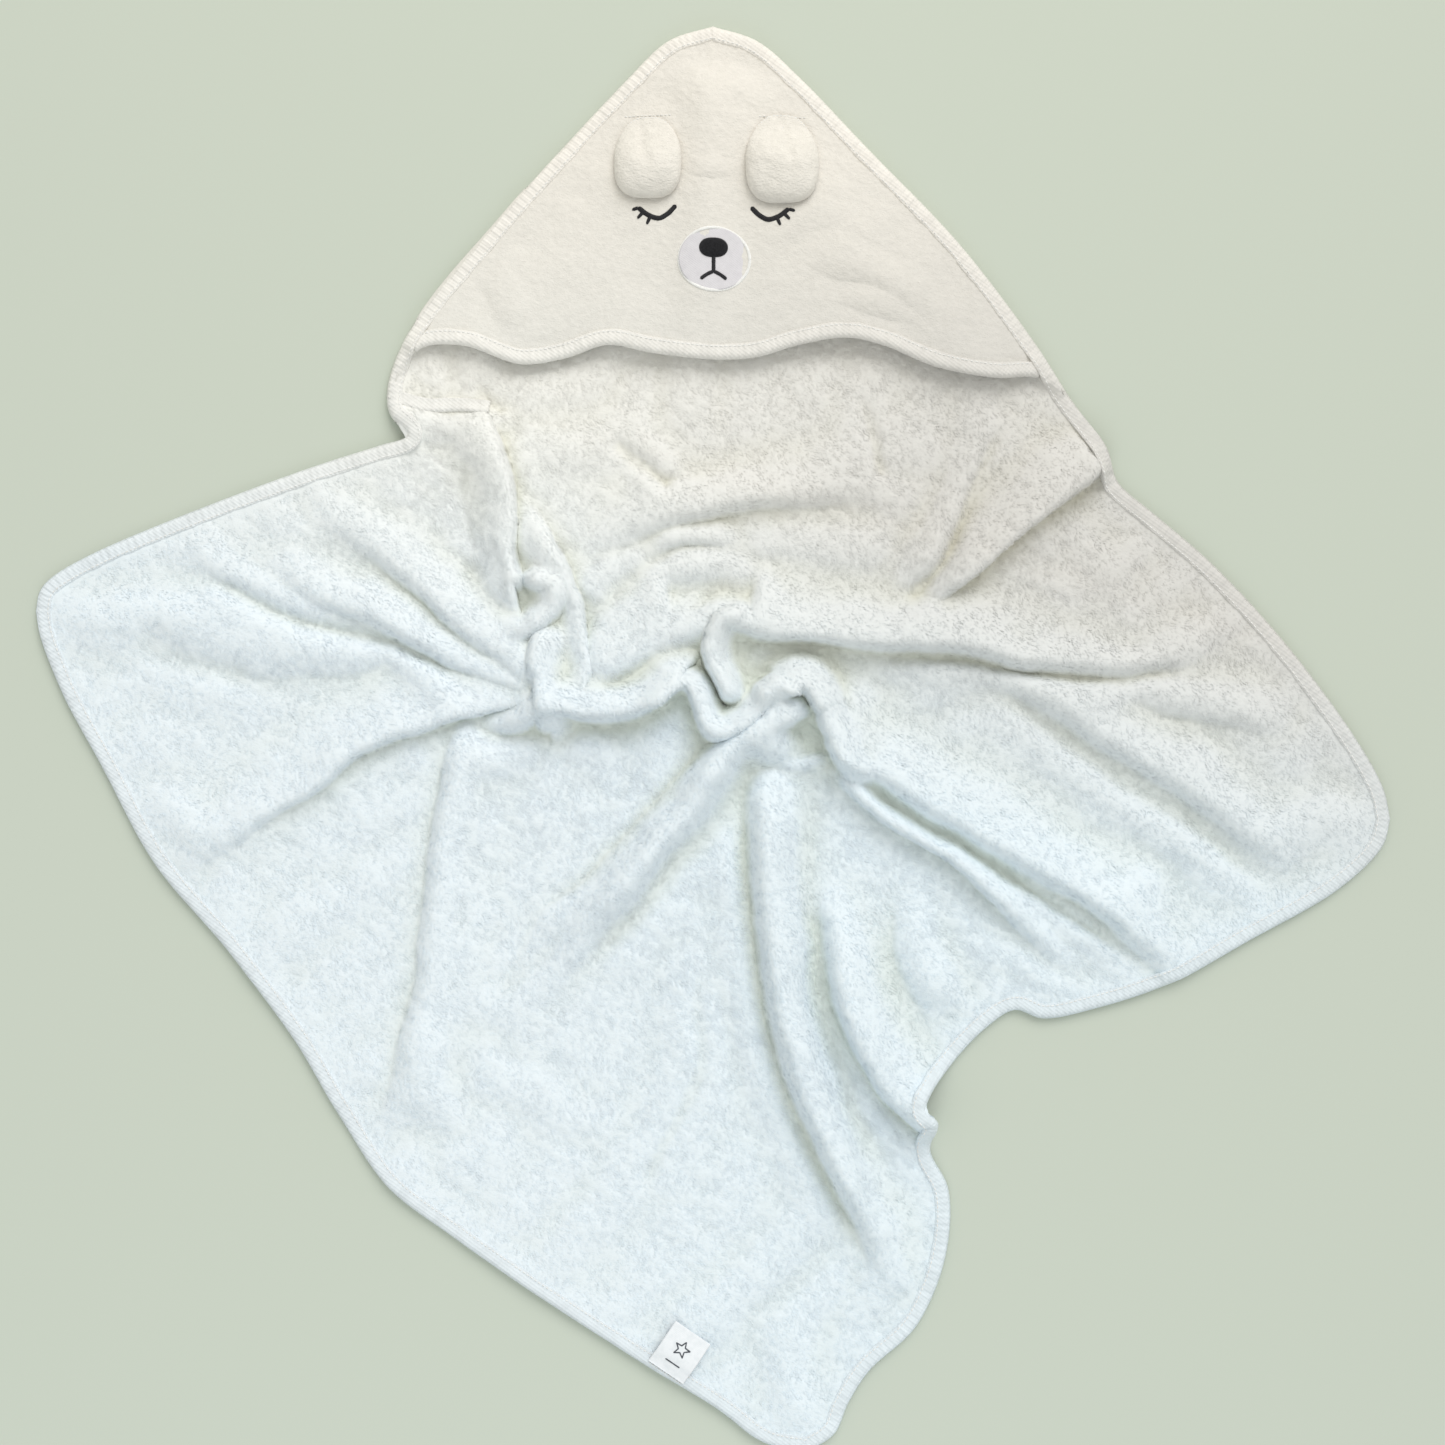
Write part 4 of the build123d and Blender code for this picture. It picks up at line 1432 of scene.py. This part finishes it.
def backing_object():
    """The backing cloth, pressed against the underside of the hood."""
    low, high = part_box("face_backing")
    places = [v.co for v in hood.data.vertices]
    under = BVHTree.FromPolygons(places, [p.vertices for p in hood.data.polygons])
    nx, ny = BACKING_GRID
    px, py = np.meshgrid(np.linspace(low.x, high.x, nx), np.linspace(low.y, high.y, ny))
    level = []
    for a, b in zip(px.ravel(), py.ravel()):
        level.append(under.ray_cast(Vector((a, b, 0.0)), Vector((0, 0, 1)))[0].z)
    level = calm_grid(np.array(level).reshape(ny, nx), BACKING_CALM) - BACKING_GAP
    return sheet_object("face_backing_cloth", np.dstack([px, py, level]), BACKING_THICK)


backing = backing_object()
finish_piece(backing, BACKING_LOOK, "stabiliser", "hood", "face_backing")


# ---------------------------------------------------------------- ears
EAR_ROUNDNESS = 3.0
EAR_SWELL = {"left": 1.04, "right": 1.13}
EAR_CREASE = {"left": -0.1, "right": 0.22}
EAR_GAP = 0.2 * MM
STUFFING_GAP = 1.5 * MM
SEAM_SHARE = 0.985
SEAM_HEIGHT = 0.13
STUFFING_SHARES = (0.6, 0.8)
EAR_STITCH_LENGTH = 2.2 * MM


def rounded_outline(turns):
    """Points of a rounded square, one unit from its middle to each side."""
    c, s = np.cos(turns), np.sin(turns)
    reach = (np.abs(c) ** EAR_ROUNDNESS + np.abs(s) ** EAR_ROUNDNESS) ** (-1 / EAR_ROUNDNESS)
    return reach * c, reach * s


def ear_narrowing(height):
    """How wide an ear is at each height, -1 at its free lower edge and 1 at its root."""
    return 1 - 0.28 * np.clip(height, 0, 1) ** 1.5


def ear_grid(centre, radii, clearance, loft, swell, crease):
    """The outside of a small stuffed pad: low where it is sewn on, fullest near its free lower edge."""
    rings, spokes = 30, 96
    turns = np.linspace(0, 2 * np.pi, spokes, endpoint=False)
    tilt = np.linspace(-np.pi / 2, np.pi / 2, 2 * rings + 1)[:, None]
    spread = np.cos(tilt) ** 0.7 * swell
    sx, sy = (axis * spread for axis in rounded_outline(turns))
    narrow = ear_narrowing(sy)
    full = 0.12 + 0.88 * smoothstep((1.0 - sy) / 1.2)
    upper = np.sin(np.clip(tilt, 0, None)) ** 0.85 * 0.75 * full
    lower = np.sin(np.clip(-tilt, 0, None)) * 0.25
    groove = np.exp(-(((sx - crease + 0.25 * sy) / 0.2) ** 2)) * smoothstep((sy + 0.55) / 0.7) * 0.10
    lump = noise(sx + crease * 9, sy, 0.55, 68) * 0.07
    x, y = centre[0] + radii[0] * sx * narrow, centre[1] + radii[1] * sy
    rest = np.array([hood_height(a, b) for a, b in zip(x.ravel(), y.ravel())]).reshape(x.shape)
    level = rest + clearance
    level += loft * (0.12 + upper * (1 + lump) - groove * np.sin(np.clip(tilt, 0, None)) - lower / 2)
    return np.stack([x, y, level], axis=2)


def ear(side):
    """A stuffed ear: its plush, its filling, the seam round it and the row that sews it on."""
    front_low, front_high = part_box(f"{side}_ear_front")
    back_low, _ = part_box(f"{side}_ear_back")
    centre = (front_low + front_high) / 2
    radii = ((front_high.x - front_low.x) / 2, (front_high.y - front_low.y) / 2)
    loft = front_high.z - back_low.z
    crease = EAR_CREASE[side]
    grid = ear_grid(centre, radii, EAR_GAP, loft, EAR_SWELL[side], crease)
    faces = grid_faces(*grid.shape[:2], wrap=True)[:, ::-1]
    pad = new_object(f"{side}_ear_plush", grid.reshape(-1, 3), faces)
    finish_piece(pad, EAR_LOOK, "ear_plush", f"{side}_ear", f"{side}_ear_front", f"{side}_ear_back")
    inner = ear_grid(centre, radii, STUFFING_GAP, loft * STUFFING_SHARES[0], STUFFING_SHARES[1], crease)
    fill = new_object(f"{side}_ear_stuffing", inner.reshape(-1, 3), faces)
    finish_piece(fill, STUFFING_LOOK, "stuffing", f"{side}_ear", f"{side}_ear_filling")
    sx, sy = rounded_outline(np.linspace(0, 2 * np.pi, 120, endpoint=False))
    sx, sy = sx * EAR_SWELL[side] * SEAM_SHARE, sy * EAR_SWELL[side] * SEAM_SHARE
    line = np.column_stack([centre.x + radii[0] * sx * ear_narrowing(sy), centre.y + radii[1] * sy])

    def seam_height(x, y):
        """Height of the seam over the hood, a share of the ear's thickness."""
        return hood_height(x, y) + loft * SEAM_HEIGHT

    seam_name = f"{side}_ear_seam_stitches"
    seam_row = stitches(seam_name, line, seam_height, closed=True, pitch=2.6 * MM, long=EAR_STITCH_LENGTH)
    finish_piece(seam_row, THREAD_LOOK, "white_thread", f"{side}_ear", f"{side}_ear_seam")
    stitch_low, stitch_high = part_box(f"{side}_ear_base_stitch")
    root = np.linspace((stitch_low.x, stitch_low.y), (stitch_high.x, stitch_low.y), 20)
    base_name = f"{side}_ear_base_stitches"
    root_row = stitches(base_name, root, hood_height, pitch=2.8 * MM, long=EAR_STITCH_LENGTH)
    finish_piece(root_row, THREAD_LOOK, "white_thread", "hood", f"{side}_ear_base_stitch")


ear("left")
ear("right")


# ---------------------------------------------------------------- side label
LABEL_WIDTH = 30 * MM
LABEL_LENGTH = 34 * MM
LABEL_THICK = 0.35 * MM
LABEL_LAYER_GAP = 0.25 * MM
LABEL_LIFT = 0.3 * MM
LABEL_BUMP = 1.0 * MM
LABEL_RISE = 14 * MM
STAR_RADII = (6.0 * MM, 2.6 * MM)
YARN = 0.3 * MM


label_joint = joint_named("label_flap")
label_root = np.array(label_joint["pos_m"])
label_across = unit(np.array(label_joint["axis"][:2]))
label_inwards = np.array([-label_across[1], label_across[0]])


def label_place(a, b):
    """The place a across and b inwards from the middle of the label's root."""
    return label_root[:2] + label_across * a + label_inwards * b


def label_level(b):
    """Height of the label's underside b inwards from its root: over the tape, then over the cloth."""
    level = label_start + (label_ground - label_start) * smoothstep(b / LABEL_RISE)
    bump = np.sin(np.clip(b / LABEL_LENGTH, 0, 1) * np.pi) ** 2
    return level + LABEL_LIFT + LABEL_BUMP * bump


def highest_under(height, count, reach):
    """The highest point of a surface under a stretch of the label."""
    across = np.linspace(-LABEL_WIDTH / 2, LABEL_WIDTH / 2, count)
    return max(height(*label_place(a, b)) or 0 for a in across for b in reach)


label_ground = highest_under(cloth_height, 7, np.linspace(8 * MM, 34 * MM, 7))
label_start = highest_under(binding_height, 9, np.linspace(0, 4 * MM, 5))


def label_object():
    """A woven strip folded back on itself, its two layers joined at the free end."""
    across = np.linspace(-LABEL_WIDTH / 2, LABEL_WIDTH / 2, 31)
    out = np.linspace(0, LABEL_LENGTH, 35)
    bend = np.linspace(-np.pi / 2, np.pi / 2, 9)[1:-1]
    profile = [(b, 0.0) for b in out]
    radius = (LABEL_LAYER_GAP + LABEL_THICK) / 2
    profile += [(LABEL_LENGTH + radius * np.cos(t), radius + radius * np.sin(t)) for t in bend]
    profile += [(b, 2 * radius) for b in out[::-1]]
    grid = np.zeros((len(profile), len(across), 3))
    for i, (b, up) in enumerate(profile):
        for j, a in enumerate(across):
            grid[i, j, :2] = label_place(a, b)
            grid[i, j, 2] = label_level(b) + LABEL_THICK / 2 + up
    return sheet_object("side_label_tape", grid, LABEL_THICK)


label = label_object()
finish_piece(label, LABEL_LOOK, "label_tape", "side_label", "side_label")
label_height = surface_of(label)


def motif_parts():
    """A five-pointed star outline and a plain bar, woven in dark yarn."""
    middle_b = LABEL_LENGTH * 0.6
    corners = []
    for k in range(10):
        reach = STAR_RADII[k % 2]
        turn = np.pi / 2 + k * np.pi / 5
        corners.append(label_place(reach * np.cos(turn), middle_b + reach * np.sin(turn)))
    corners.append(corners[0])
    star = resample(np.array(corners), 200)
    bar = np.array([label_place(a, LABEL_LENGTH * 0.25) for a in np.linspace(-6 * MM, 6 * MM, 30)])
    return [
        satin_band(star, 0.9 * MM, 0.2 * MM, label_height, YARN),
        satin_band(bar, 1.0 * MM, 0.2 * MM, label_height, YARN),
    ]


motif = joined("side_label_motif", motif_parts())
finish_piece(motif, YARN_LOOK, "label_yarn", "side_label", "label_motif")
tack_line = np.array([label_place(a, -1.2 * MM) for a in np.linspace(-14 * MM, 14 * MM, 30)])
tack = stitches("label_tack_stitches", tack_line, binding_height, pitch=2.4 * MM, long=1.9 * MM)
finish_piece(tack, THREAD_LOOK, "white_thread", "towel", "label_tack_stitch")
